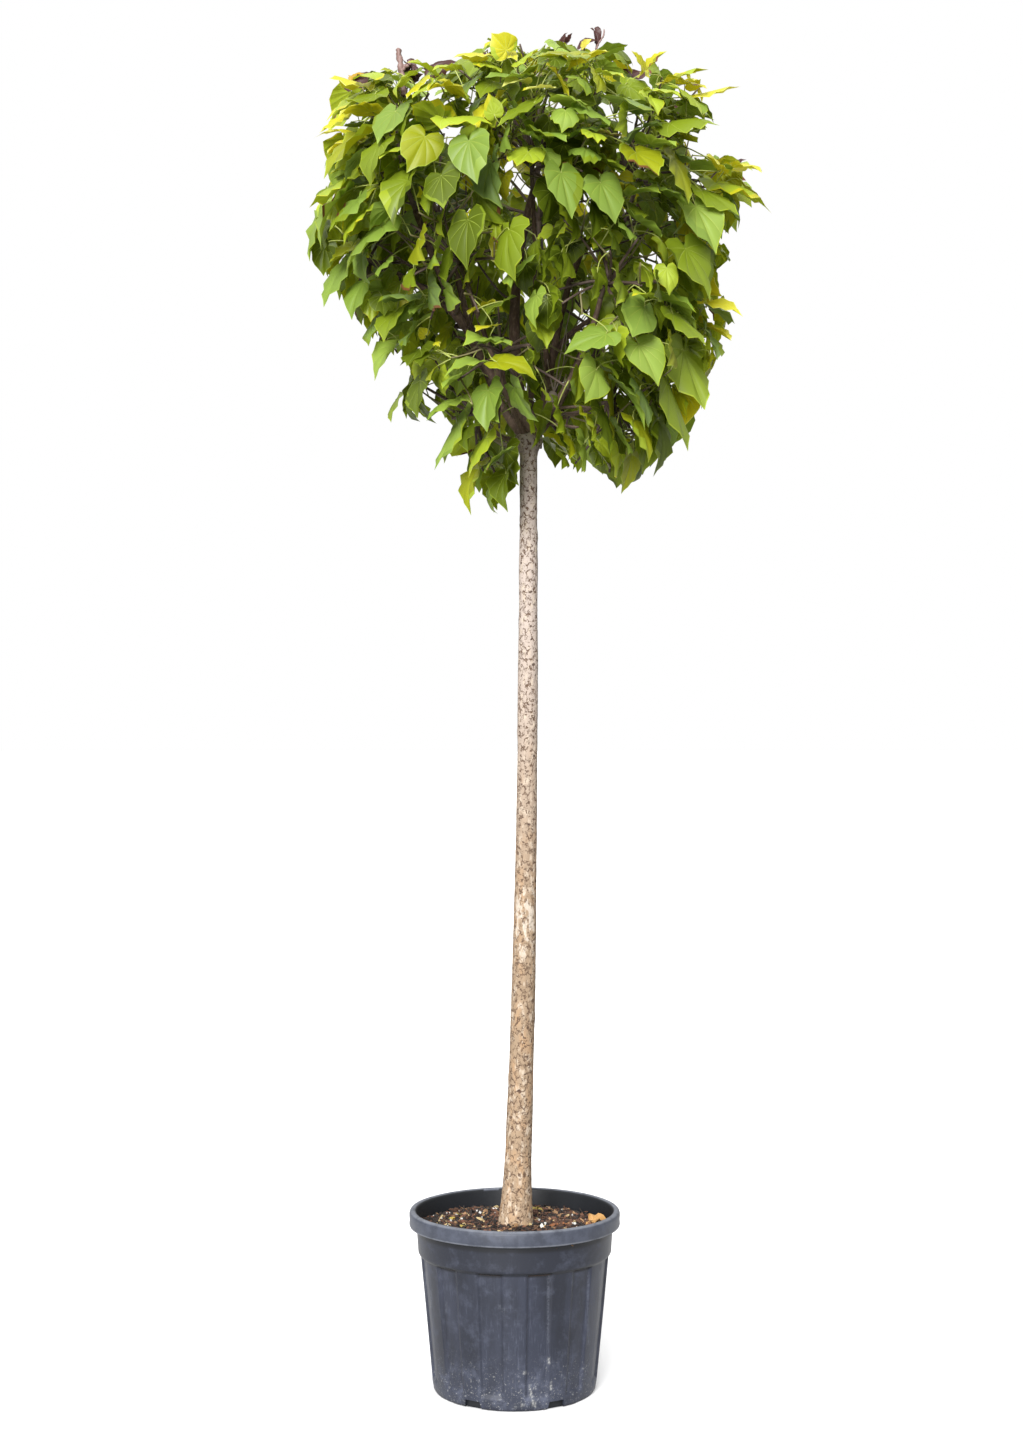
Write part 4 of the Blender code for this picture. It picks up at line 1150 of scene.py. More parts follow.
def shown_pose(row, depth, view, settings, bend=0.0):
    """(joint, along, facing, length, how much wider than usual) of a shown leaf at this depth, tip in its place."""
    _, x0, y0, x1, y1, wide, _, size = row
    foot, tip = pixel_point(x0, y0, depth, view), pixel_point(x1, y1, depth, view)
    wide = wide * (view.distance + depth) / FOCAL_PIXELS
    seen = np.linalg.norm(tip - foot) * 1.04
    length = max(seen, min(settings.blade_length * 0.92 * size, seen * (1.2 if y0 < YOUNG_ROWS else 1.6)))
    side = np.sign(foot[0] + tip[0] - 2 * CROWN_X)
    along, facing = shown_axes(tip - foot, wide, length, side)
    wider = max(1.0, wide / (BLADE_ASPECT * length))
    cos, sin = math.cos(bend / 2), math.sin(bend / 2)
    along, facing = along * cos + facing * sin, facing * cos - along * sin
    return foot, along, facing, length / np.sinc(bend / TURN), wider


def shown_depth(row, view, settings):
    """How deep a shown leaf lies: where its middle comes inside the crown, or nearest to it."""
    depths = np.arange(-0.45, 0.22, 0.015)
    poses = [shown_pose(row, depth, view, settings) for depth in depths]
    middles = np.array([joint + along * length * 0.4 for joint, along, _, length, _ in poses])
    shares = crown_share(middles)
    inside = np.nonzero(shares < 0.95)[0]
    return depths[inside[0] if len(inside) else int(np.argmin(shares))] + DEPTH_OF_LAYER[row[6]]


def nearest_mass(point):
    return min(MASSES, key=lambda name: np.linalg.norm(np.array(MASSES[name][1]) - point))


def stalk_root(joint, group):
    """The node of a mass's shoots that carries a leaf here, on a new shoot where none is near."""
    places = [(k, j) for k, shoot in enumerate(group) for j in range(1, len(shoot.path))]
    gaps = np.array([np.linalg.norm(group[k].path[j] - joint) for k, j in places])
    number, j = places[int(np.argmin(np.abs(gaps - STALK_LENGTHS[1] * 0.7)))]
    if np.abs(gaps - STALK_LENGTHS[1] * 0.7).min() > STALK_LENGTHS[1] * 0.6:
        number, j = places[int(np.argmin(gaps))]
        begin = group[number].path[j]
        end = joint + unit(begin - joint) * STALK_LENGTHS[1] * 0.6
        at = j / (len(group[number].path) - 1)
        group.append(Shoot(twig_curve(begin, UP, end, 0.06, 5), SHOOT_RADII, number, at))
        number, j = len(group) - 1, 4
    shoot = group[number]
    shoot.last = max(shoot.last, j / (len(shoot.path) - 1))
    return shoot.path[j], number


def place_shown(canopy, shoots, rng, settings):
    """Sets the leaves that the photograph shows, and gives each a stalk from a shoot of its mass."""
    view = canopy.front.view
    for row in shown_rows():
        shape = random_shapes(rng, 1, settings, 0.7)
        shape["swerve"] *= 0.3
        start = shown_depth(row, view, settings)
        for depth in start + np.arange(0, 0.13, 0.006):
            joint, along, facing, length, wider = shown_pose(row, depth, view, settings, shape["bend"][0])
            local = blade_points(COARSE_DEGREES, COARSE_SIDES, COARSE_RINGS, {**shape, "width": shape["width"] * wider})
            coarse = to_world(local, joint[None], along[None], facing[None], np.array([length]))[0]
            middle = joint + along * length * 0.35
            tree = canopy.clear_of_others(coarse, middle)
            if tree:
                name = nearest_mass(middle)
                node, number = stalk_root(joint, shoots[name])
                pose = (node, unit(joint - node), joint, along, facing, length)
                own = {key: values[0] for key, values in shape.items()}
                own["width"] *= wider
                canopy.add((name, row[0], pose, own), tree, middle)
                canopy.front.leaf(coarse[len(COARSE_RINGS)::len(COARSE_RINGS)])
                break


def place_shown_twigs(canopy, shoots):
    """Grows the twigs that the photograph shows from the wood that passes nearest to their foot."""
    view = canopy.front.view
    spots = [(p, None, 0, 0) for name in LIMBS for p in limb_points(name, np.linspace(0.05, 1, 16))]
    spots += [
        (p, name, k, j / (len(shoot.path) - 1))
        for name, group in shoots.items() for k, shoot in enumerate(group) for j, p in enumerate(shoot.path)
    ]
    points = np.array([spot[0] for spot in spots])
    column, row = pixels_of(points, view)
    for x0, y0, x1, y1, depth, radius, young in SHOWN_TWIGS:
        away = np.hypot(column - x0, row - y0) + 60 * np.abs(points[:, 1] - depth * 0.5)
        foot, name, number, share = spots[int(np.argmin(away))]
        tip = pixel_point(x1, y1, depth, view)
        low = pixel_point(x0, y0, (foot[1] + depth) / 2, view)
        path = bezier(foot, low, low + (tip - low) * 0.5, tip, np.linspace(0, 1, 9))
        if name:
            shoots[name][number].last = max(shoots[name][number].last, share)
        mass = name or nearest_mass(tip)
        twig = Shoot(path, (radius, radius * 0.6), number, share)
        twig.last, twig.young = 1.0, young
        shoots[mass].append(twig)
        canopy.front.stroke(x0, y0, x1, y1, 4, path[4][1])


def place_leaf(site, name, canopy, rng, settings):
    """Of several tries at a site, the leaf that reaches furthest out, clear of wood and other leaves."""
    node, side, share, number = site
    joints, along, facing, length = leaf_tries(node, side, rng, LEAF_TRIES, settings)
    length = length * (1.04 - 0.22 * share)
    shape = random_shapes(rng, LEAF_TRIES, settings)
    local = blade_points(COARSE_DEGREES, COARSE_SIDES, COARSE_RINGS, shape)
    coarse = to_world(local, joints, along, facing, length)
    reach = crown_share(coarse)
    good = (reach <= 1.0).all(axis=1) & in_space(coarse, name).all(axis=1)
    good &= ~canopy.front.hidden_by(coarse)
    middles = joints + along * (length * 0.35)[:, None]
    gaps = canopy.gap(middles)
    good &= gaps > LEAF_APART
    score = reach.max(axis=1) + 2.5 * np.minimum(gaps, 0.09)
    for k in [k for k in np.argsort(-score) if good[k]][:LEAF_TESTS]:
        tree = canopy.clear_of_others(coarse[k], middles[k])
        if tree:
            pose = (node, side, joints[k], along[k], facing[k], length[k])
            canopy.add((name, number, pose, {key: values[k] for key, values in shape.items()}), tree, middles[k])
            return True
    return False


def leaf_mass(name, sites, canopy, shoots, rng, settings):
    """Leaves on the sites of one mass, the outermost first."""
    order = sorted(sites, key=lambda site: -crown_share((site[0] + site[1] * 0.05)[None])[0] + rng.uniform(0, 0.35))
    grown = 0
    for site in order:
        if grown >= settings.leaves_per_mass:
            break
        if place_leaf(site, name, canopy, rng, settings):
            grown += 1
            shoot = shoots[site[3]]
            shoot.last = max(shoot.last, site[2])


# Tints of leaves: the share of each by height, from the top down, with more gold to the right
TINTS = ("gold", "cream", "lime", "pale", "bright", "fresh", "mid", "deep", "olive", "dusky")
TINT_HEIGHTS = (1.80, 2.00, 2.20, 2.40, 2.55, 2.66)
TINT_SHARES = {
    "gold": (0.01, 0.01, 0.01, 0.03, 0.14, 0.30),
    "cream": (0.00, 0.00, 0.00, 0.01, 0.03, 0.06),
    "lime": (0.10, 0.08, 0.08, 0.12, 0.24, 0.26),
    "pale": (0.08, 0.12, 0.14, 0.16, 0.12, 0.08),
    "bright": (0.24, 0.22, 0.20, 0.22, 0.20, 0.12),
    "fresh": (0.08, 0.12, 0.16, 0.16, 0.06, 0.03),
    "mid": (0.20, 0.22, 0.20, 0.14, 0.06, 0.03),
    "deep": (0.08, 0.10, 0.08, 0.04, 0.00, 0.00),
    "olive": (0.20, 0.12, 0.08, 0.07, 0.12, 0.12),
    "dusky": (0.02, 0.04, 0.06, 0.06, 0.03, 0.01),
}
NEIGHBOURS = {
    "gold": ("lime", "olive"), "cream": ("gold", "lime"), "lime": ("bright", "gold"),
    "pale": ("bright", "fresh"), "bright": ("pale", "lime"), "fresh": ("mid", "pale"),
    "mid": ("deep", "bright"), "deep": ("mid", "mid"), "olive": ("lime", "mid"), "dusky": ("fresh", "mid"),
}
# The lighter tint of each leaf's outer ring: a painted highlight along the margin.
EDGE_HIGHLIGHTS = {
    "gold": "cream", "cream": "cream", "lime": "gold", "pale": "lime", "bright": "lime",
    "fresh": "pale", "mid": "bright", "deep": "mid", "olive": "lime", "dusky": "pale",
}
# Leaves deeper inside the crown than this share take darker tints: partly the darker green of older inner leaves,
# partly painted shade.
INNER_SHARE = 0.80


def deal_tint(point, rng):
    """The tint of the spray at this point, darker deep inside the crown: partly the darker green of inner leaves,
    partly painted shade.
    """
    weights = [np.interp(point[2], TINT_HEIGHTS, TINT_SHARES[tint]) for tint in TINTS]
    if point[0] > 0.28:
        warm = min(1.0, (point[0] - 0.28) / 0.12)
        weights[TINTS.index("olive")] += 0.35 * warm
        weights[TINTS.index("gold")] += 0.16 * warm
    # Painted shade, with the darker green of inner leaves: deep and mid tints gain weight inside the crown.
    if crown_share(np.array(point)[None])[0] < INNER_SHARE:
        weights[TINTS.index("deep")] += 2.0
        weights[TINTS.index("mid")] += 0.8
    return rng.choices(TINTS, weights)[0]


def leaf_tint(tint, rng):
    return tint if rng.random() < 0.62 else rng.choice(NEIGHBOURS[tint])


def petiole(pose):
    """The path of a leaf's stalk, which arches from the shoot to the blade."""
    node, side, joint, along, facing, length = pose
    way = joint - node
    span = np.linalg.norm(way)
    second = node + unit(side + UP * 0.3) * span * 0.35
    third = joint - unit(along * 0.75 + facing * -0.15) * span * 0.30
    return bezier(node, second, third, joint, np.linspace(0, 1, 6))


# Settings


def length_property(name, description, default):
    return FloatProperty(name=name, description=description, default=default, unit="LENGTH")


def count_property(name, description, default, least=0):
    return IntProperty(name=name, description=description, default=default, min=least)


def angle_property(name, description, degrees):
    return FloatProperty(name=name, description=description, default=math.radians(degrees), subtype="ANGLE")


def colour_property(name, description, colour):
    return FloatVectorProperty(name=name, description=description, default=colour, subtype="COLOR", min=0, max=1)


class ContainerSettings(bpy.types.PropertyGroup):
    """Sizes and colours of the nursery container."""

    height: length_property("Height", "From the ground to the rim", POT_HIGH.z)
    rim_radius: length_property("Rim radius", "Outside radius of the rolled rim", POT_HIGH.x)
    foot_radius: length_property("Foot radius", "Outside radius just above the ground", 0.1625)
    flute_depth: length_property("Flute depth", "How far the flutes are sunk in the wall", 0.0048)
    wall_colour: colour_property("Wall colour", "Weathered grey blue plastic", (0.021, 0.024, 0.037))
    dust_colour: colour_property("Dust colour", "Dried splashes and rubbed edges", (0.074, 0.082, 0.114))
    lime_colour: colour_property("Lime colour", "White lime stains near the foot", (0.42, 0.42, 0.40))


class MixSettings(bpy.types.PropertyGroup):
    """The potting mix and what lies on it."""

    top: length_property("Top", "Height of the mix", 0.320)
    chips: count_property("Chips", "Bark chips and crumbs on the mix", 3400)
    perlite: count_property("White grains", "White grains on the mix", 30)
    seed: count_property("Seed", "Deals out the chips", 4)
    soil_colour: colour_property("Soil colour", "Moist peat between the chips", (0.020, 0.011, 0.007))


class BarkSettings(bpy.types.PropertyGroup):
    """Relief and colours of the stem and boughs."""

    seed: count_property("Seed", "Places the pits", 7)
    stem_rows: count_property("Stem rows", "Rings of the stem's mesh", 620, 20)
    stem_sides: count_property("Stem sides", "Sides of the stem's mesh", 76, 8)
    pits: count_property("Pits", "Breathing pits on the stem", 420)
    relief: length_property("Relief", "Depth of the bark's ridges", 0.0006)
    pale_colour: colour_property("Pale bark", "Dry tan bark of the stem", (0.270, 0.194, 0.127))
    # Greyer bark below the graft, also lightened as painted light where the crown shades the stem.
    grey_colour: colour_property("Grey bark", "Pinkish grey bark below the graft", (0.400, 0.335, 0.290))
    crevice_colour: colour_property("Crevices", "Brown in the bark's cracks", (0.096, 0.058, 0.037))
    bough_colour: colour_property("Bough bark", "Dark brown bark of the boughs", (0.078, 0.047, 0.034))


class CrownSettings(bpy.types.PropertyGroup):
    """Twigs and leaves."""

    seed: count_property("Seed", "Deals out twigs and leaves", 10)
    twigs: count_property("Twigs", "Twigs in each mass", 11, 1)
    side_shoots: count_property("Side shoots", "Finer shoots on each twig", 2)
    leaves_per_mass: count_property("Leaves", "Most leaves in each mass", 66, 1)
    blade_length: length_property("Blade length", "From the stalk to the tip", 0.088)
    blade_width: length_property("Blade width", "Across the blade", 0.080)


class TintSettings(bpy.types.PropertyGroup):
    """Leaf colours, dealt out by spray."""

    gold: colour_property("Gold", "Yellow leaves on top", (0.450, 0.430, 0.016))
    cream: colour_property("Cream", "Pale young leaves", (0.560, 0.560, 0.150))
    lime: colour_property("Lime", "Yellow green leaves", (0.300, 0.380, 0.026))
    pale: colour_property("Pale", "Light green leaves that face the light", (0.222, 0.315, 0.046))
    bright: colour_property("Bright", "Sunlit green leaves", (0.258, 0.325, 0.016))
    fresh: colour_property("Fresh", "Clear green leaves", (0.168, 0.252, 0.034))
    mid: colour_property("Mid", "Plain green leaves", (0.157, 0.213, 0.009))
    deep: colour_property("Deep", "Shaded green leaves", (0.080, 0.113, 0.004))
    olive: colour_property("Olive", "Leaves that begin to turn", (0.240, 0.265, 0.006))
    dusky: colour_property("Dusky", "Dull blue green leaves", (0.140, 0.207, 0.050))
    rust: colour_property("Rust", "Dry brown margins", (0.130, 0.050, 0.016))
    vein: colour_property("Vein", "Pale green mixed into the veins", (0.380, 0.450, 0.090))
    stalk: colour_property("Stalk", "Leaf stalks", (0.330, 0.370, 0.080))
    maroon: colour_property("Maroon", "Withered leaves, dark side", (0.050, 0.016, 0.013))
    russet: colour_property("Russet", "Withered leaves, light side", (0.180, 0.065, 0.030))


class StageSettings(bpy.types.PropertyGroup):
    """Camera, light and floor."""

    distance: length_property("Distance", "Camera to the stem", 4.2)
    height: length_property("Height", "Camera above the ground", 1.2755)
    sideways: length_property("Sideways", "Camera along X", -0.006)
    floor_colour: colour_property("Floor", "Pale floor below the plant", (0.80, 0.80, 0.80))
    key: FloatProperty(name="Key light", description="Strength of the soft light", default=6.6)
    key_turn: angle_property("Key turn", "How far the soft light stands to the left of the front", 15)
    key_rise: angle_property("Key rise", "Height of the soft light above the horizon", 21)
    softness: angle_property("Softness", "Width of the soft light", 30)
    zenith: FloatProperty(name="Overhead", description="Light from straight above", default=1.7)
    horizon: FloatProperty(name="Horizon", description="Light from the sides", default=0.35)
    below: FloatProperty(name="Below", description="Light from below", default=0.16)


# Container


def flute_share(angles):
    """1 in a flute, 0 on a land, with short slopes between, for angles in radians."""
    place = np.degrees(angles) % 30.0
    return smooth_step(6.6, 8.8, place) - smooth_step(21.2, 23.4, place)


def wall_profile(settings):
    """(radius, height, share of the flutes) up the outside, over the rim and down the inside."""
    foot, rim, top = settings.foot_radius, settings.rim_radius, settings.height
    slope = (0.188 - foot) / 0.270
    rim_foot = top - 0.031
    rows = [(foot - 0.0060, 0.0, 0), (foot - 0.0025, 0.0012, 0), (foot - 0.0006, 0.0045, 0), (foot, 0.009, 0)]
    rows += [(foot + slope * z, z, 1) for z in np.linspace(0.016, 0.2675, 84)]
    rows += [(0.1893, 0.2695, 0), (0.1915, 0.2722, 0), (0.1927, 0.2745, 0), (0.1930, 0.278, 0)]
    rows += [(0.1930 + 0.0030 * s, 0.278 + 0.046 * s, 0) for s in (0.3, 0.6, 0.9)]
    rows += [(0.1960, rim_foot - 0.001, 0), (0.1975, rim_foot, 0), (rim - 0.0030, rim_foot, 0)]
    rows += [(rim - 0.0010, rim_foot + 0.0007, 0), (rim - 0.0001, rim_foot + 0.003, 0)]
    rows += [(rim - 0.0006, rim_foot + 0.012, 0), (rim, top - 0.008, 0), (rim - 0.0012, top - 0.0035, 0)]
    rows += [(rim - 0.0035, top - 0.0010, 0), (rim - 0.0065, top, 0), (rim - 0.0105, top - 0.0006, 0)]
    rows += [(rim - 0.0130, top - 0.0025, 0), (rim - 0.0142, top - 0.006, 0), (0.1942, rim_foot - 0.002, 0)]
    rows += [(0.1930, rim_foot - 0.008, 0), (0.1905, 0.284, 0), (0.1898, 0.2775, 0), (0.1835, 0.272, 0)]
    rows += [(0.1790, 0.24, 0), (foot - 0.006, 0.016, 0), (foot - 0.018, 0.004, 0)]
    return rows


def wall_points(settings, columns=600):
    angles = np.arange(columns) * TURN / columns
    sunk = flute_share(angles)
    rings = []
    for radius, z, share in wall_profile(settings):
        fade = 0.0
        if share:
            fade = smooth_step(0.022, 0.032, np.array(z))
        reach = radius - settings.flute_depth * sunk * fade
        wobble = 0.0004 * np.sin(3 * angles + z * 9) + 0.0003 * np.sin(7 * angles + 1)
        reach = reach + wobble * (0.4 + 0.6 * (z > 0.02))
        rings.append(np.stack([reach * np.cos(angles), reach * np.sin(angles), np.full(columns, z)], axis=-1))
    points = np.concatenate(rings + [np.array([[0, 0, 0.0]]), np.array([[0, 0, 0.004]])])
    return points, tube_faces(len(rings), columns)


def notch_wedge(azimuth, settings):
    """A bar that cuts a drain notch with slanted cheeks into the foot of the wall."""
    inner, outer = settings.foot_radius - 0.0095, settings.foot_radius + 0.02
    half, shoulder, high = 0.021, 0.016, 0.016
    section = np.array(((-half, -0.01), (half, -0.01), (shoulder, high), (-shoulder, high)))
    points = np.array([(r, y, z) for r in (inner, outer) for y, z in section])
    turn = np.array(((math.cos(azimuth), math.sin(azimuth), 0), (-math.sin(azimuth), math.cos(azimuth), 0), (0, 0, 1)))
    faces = ((0, 3, 2), (0, 2, 1), (4, 5, 6), (4, 6, 7), (0, 1, 5), (0, 5, 4),
             (1, 2, 6), (1, 6, 5), (2, 3, 7), (2, 7, 6), (3, 0, 4), (3, 4, 7))
    return points @ turn, faces


def container_finish(settings):
    """Weathered plastic: cloudy dust, faint streaks on the wall, scuffs and white lime near the foot; painted shade on
    the collar, under the rim and the collar's step, along the foot, inside the pot and in its notches; painted light on
    the rim, and painted highlights on its lip and on the flute edges.
    """
    finish = Finish("weathered_plastic", tuple(settings.wall_colour), 0.55, Specular_IOR_Level=0.27)
    height = finish.height()
    streaks = finish.noise(finish.place((1, 1, 0.05)), 320, 4)
    broad = finish.noise(finish.place((1, 1, 0.35)), 18, 3)
    grain = finish.noise(finish.place(), 900, 2)
    cloudy = finish.noise(finish.place(), 34, 6, 0.7)
    rim = height.between(0.322, 0.330)
    body = height.between(0.272, 0.266)
    low = height.between(0.13, 0.01)
    wall = tuple(settings.wall_colour)
    shade = finish.mix(tuple(c * 0.50 for c in wall), wall, broad.between(0.32, 0.60))
    # Painted shade: the collar under the rim is darker than the body and the rim.
    shade = finish.mix(tuple(c * 0.55 for c in wall), shade, (body + rim).least(1.0))
    # Painted light: the rim is lighter than the wall, mottled.
    shade = finish.mix(shade, (0.050, 0.056, 0.074), rim * (0.50 + cloudy.between(0.38, 0.62) * 0.40))
    veiled = streaks.between(0.54, 0.74) * broad.between(0.38, 0.60) * (body * 0.35 + 0.12)
    dust = veiled + cloudy.between(0.46, 0.74) * (0.38 + low * 0.50)
    colour = finish.mix(shade, tuple(settings.dust_colour), (dust + low * broad * 0.35).least(0.9))
    # Painted highlights: light lines along the rim's top lip and its lower edge, mottled.
    rim_lip_highlight = height.between(0.3305, 0.3285) * height.between(0.3255, 0.3265) + height.between(0.3525, 0.3555)
    colour = finish.mix(colour, (0.170, 0.180, 0.205), rim_lip_highlight * cloudy.between(0.25, 0.55) * 0.52)
    # Painted shadow: dark bands under the rim and under the collar's step, darker at the flutes' tops under the collar,
    # and a painted contact shadow along the foot.
    rim_shadow = height.between(0.3090, 0.3170) * height.between(0.3262, 0.3252)
    step_shadow = height.between(0.2650, 0.2672) * height.between(0.2742, 0.2724)
    foot = height.between(0.006, 0.001) * 0.7
    dark = (rim_shadow + step_shadow * 0.6 + finish.mark("ledge") + foot).least(1.0)
    colour = finish.mix(colour, tuple(c * 0.14 for c in wall), dark * 0.90)
    torn = finish.noise(finish.warped(60, 0.02), 240, 3, 0.7)
    # Scuffs, and painted highlights along the flute edges, made lighter.
    scuffs_and_highlights = finish.mark("scuff") * torn.between(0.34, 0.62)
    colour = finish.mix(colour, (0.13, 0.14, 0.17), scuffs_and_highlights * 0.30)
    flecks = torn.between(0.60, 0.66) * low * 0.55
    spots = (finish.mark("lime") * torn.between(0.38, 0.60) * 0.8).most(flecks)
    colour = finish.mix(colour, tuple(settings.lime_colour), spots * 0.80)
    # Painted shade: near black inside the pot below the rim and inside the drain notches.
    colour = finish.mix(colour, (0.007, 0.008, 0.010), finish.mark("inside"))
    rough = 0.44 + dust * 0.25 + grain * 0.08
    return finish.wear(colour, rough, cloudy * 0.5 + grain * 0.3 + spots * 0.4, 0.0007, 0.5)


# Lime stains, and scuffs with painted highlights on the flute edges, on the front of the container: left, top, right,
# bottom in the photograph's pixels
LIME_MARKS = (
    (529, 1385, 531, 1392), (530, 1391, 532, 1398), (532, 1397, 534, 1405), (534, 1402, 536, 1408),
    (550, 1382, 552, 1390), (512, 1405, 519, 1407), (521, 1404, 525, 1406), (548, 1358, 550, 1364),
    (535, 1386, 536, 1389), (523, 1372, 526, 1374),
)
SCUFF_AND_HIGHLIGHT_MARKS = (
    (498, 1305, 501, 1309), (501, 1308, 505, 1312), (430, 1290, 432, 1308), (445, 1302, 447, 1313),
    # The four long upright strips are painted highlights on the flute edges; the others are scuffs.
    (424, 1272, 427, 1330), (587, 1272, 589, 1345), (599, 1270, 601, 1320), (547, 1275, 549, 1343),
)


def front_marks(points, marks, view):
    """1 inside the marks on the container's front, fading within two pixels."""
    column, row = pixels_of(points, view)
    shares = np.zeros(len(points))
    for left, top, right, bottom in marks:
        edge = np.minimum(np.minimum(column - left, right - column), np.minimum(row - top, bottom - row))
        shares = np.maximum(shares, smooth_step(-1.0, 1.0, edge))
    return np.where(points[:, 1] < 0, shares, 0)


def make_container(settings, view):
    finish = container_finish(settings)
    points, faces = wall_points(settings)
    wall = array_piece("container_wall", points, faces, [finish])
    cutters = bpy.data.collections.new("drain_notches")
    for k in range(6):
        cutter = array_piece("notch", *map(np.array, notch_wedge(math.radians(k * 60), settings)), [])
        bpy.context.scene.collection.objects.unlink(cutter)
        cutters.objects.link(cutter)
    step = wall.modifiers.new("drain notches", "BOOLEAN")
    step.operation, step.operand_type, step.collection = "DIFFERENCE", "COLLECTION", cutters
    step.solver = "MANIFOLD"
    bpy.context.view_layer.update()
    graph = bpy.context.evaluated_depsgraph_get()
    cut = bpy.data.meshes.new_from_object(wall.evaluated_get(graph))
    if len(cut.vertices) == len(wall.data.vertices):
        raise RuntimeError("the drain notches were not cut")
    wall.modifiers.clear()
    wall.data = cut
    cut.shade_smooth()
    cut.set_sharp_from_angle(angle=math.radians(38))
    place = np.zeros(len(cut.vertices) * 3, np.float32)
    cut.vertices.foreach_get("co", place)
    place = place.reshape(-1, 3).astype(float)
    hold(cut, "lime", front_marks(place, LIME_MARKS, view))
    hold(cut, "scuff", front_marks(place, SCUFF_AND_HIGHLIGHT_MARKS, view))
    away = np.hypot(place[:, 0], place[:, 1])
    # Painted shade: the inside wall below the rim and the insides of the drain notches are marked to be coloured near
    # black.
    inside = (place[:, 2] > settings.height - 0.034) & (away < settings.rim_radius - 0.0125)
    aside = round_distance(np.arctan2(place[:, 1], place[:, 0]) * 6, 0.0) / 6
    notch = (np.abs(away * np.sin(aside)) < 0.023) & (away * np.cos(aside) < settings.foot_radius - 0.0085)
    inside |= notch & (place[:, 2] < 0.0165)
    hold(cut, "inside", inside)
    # Painted shadow: marks the flutes' tops under the collar, to be darkened.
    sunk = flute_share(np.arctan2(place[:, 1], place[:, 0]))
    hold(cut, "ledge", sunk * smooth_step(0.2610, 0.2655, place[:, 2]) * (place[:, 2] < 0.272))
    for cutter in list(cutters.objects):
        bpy.data.objects.remove(cutter, do_unlink=True)
    bpy.data.collections.remove(cutters)
    settle(wall, "black_plastic", "pot")
    return wall


# Potting mix


def mix_height(x, y, top):
    """Height of the mix: crumbly, a little higher round the stem."""
    flat = np.stack([x, y, np.zeros_like(x)], axis=-1)
    crumbs = lattice_noise(flat * 95, 11) * 0.0022 + lattice_noise(flat * 240, 12) * 0.0012
    swells = lattice_noise(flat * 17, 13) * 0.0040
    away = np.hypot(x - STEM_FOOT_X, y)
    return top + crumbs + swells + 0.005 * np.exp(-(((away - 0.036) / 0.020) ** 2)) + 0.0015


def make_mix_body(settings):
    """The plug of mix, with a rough top."""
    finish = Finish("peat", tuple(settings.soil_colour), 0.95)
    grain = finish.noise(finish.place(), 420, 4, 0.7)
    clumps = finish.noise(finish.place(), 90, 3)
    warm = tuple(c * k for c, k in zip(settings.soil_colour, (2.1, 1.9, 1.7)))
    colour = finish.mix(tuple(settings.soil_colour), warm, grain.between(0.45, 0.75) * clumps.between(0.3, 0.7))
    material = finish.wear(colour, None, grain, 0.002, 0.9)
    columns = 220
    angles = np.arange(columns) * TURN / columns
    outline = ((0.124, 0.0043), (0.1555, 0.024), (0.1790, 0.262), (0.1888, 0.2735), (0.1922, 0.3160))
    rings = [np.stack([r * np.cos(angles), r * np.sin(angles), np.full(columns, z)], axis=-1) for r, z in outline]
    for radius in 0.1925 * (1 - np.linspace(0, 1, 84)[:-1] ** 1.0):
        x, y = radius * np.cos(angles), radius * np.sin(angles)
        rings.append(np.stack([x, y, mix_height(x, y, settings.top)], axis=-1))
    points = np.concatenate(rings + [np.array([[0, 0, 0.0043]]), np.array([[0, 0, settings.top]])])
    body = array_piece("potting_mix_crumbly", points, tube_faces(len(rings), columns), [material])
    settle(body, "potting_mix", "potting_mix")


def chip(rng, size):
    """A splintered block: eight jittered corners, twelve triangles."""
    corners = np.array([(x, y, z) for x in (-1, 1) for y in (-1, 1) for z in (-1, 1)], float)
    corners = corners * (1 + rng.uniform(-0.38, 0.38, corners.shape)) * size / 2
    faces = ((0, 1, 3), (0, 3, 2), (4, 6, 7), (4, 7, 5), (0, 4, 5), (0, 5, 1),
             (2, 3, 7), (2, 7, 6), (0, 2, 6), (0, 6, 4), (1, 5, 7), (1, 7, 3))
    return corners, np.array(faces)


def tumble(rng, tilt):
    """A random turn that keeps the piece within a tilt of lying flat."""
    yaw, lean, about = rng.uniform(0, TURN), rng.normal(0, tilt), rng.uniform(0, TURN)
    axis = np.array([[math.cos(about), math.sin(about), 0.0]])
    frame_axes = rotate_about(np.eye(3), np.tile(UP, (3, 1)), np.full(3, yaw))
    return rotate_about(frame_axes, np.repeat(axis, 3, axis=0), np.full(3, lean))


def scatter_spot(rng, inner=0.030, outer=0.186):
    radius, angle = math.sqrt(rng.uniform(inner**2, outer**2)), rng.uniform(0, TURN)
    return radius * math.cos(angle) + STEM_FOOT_X * 0.5, radius * math.sin(angle)


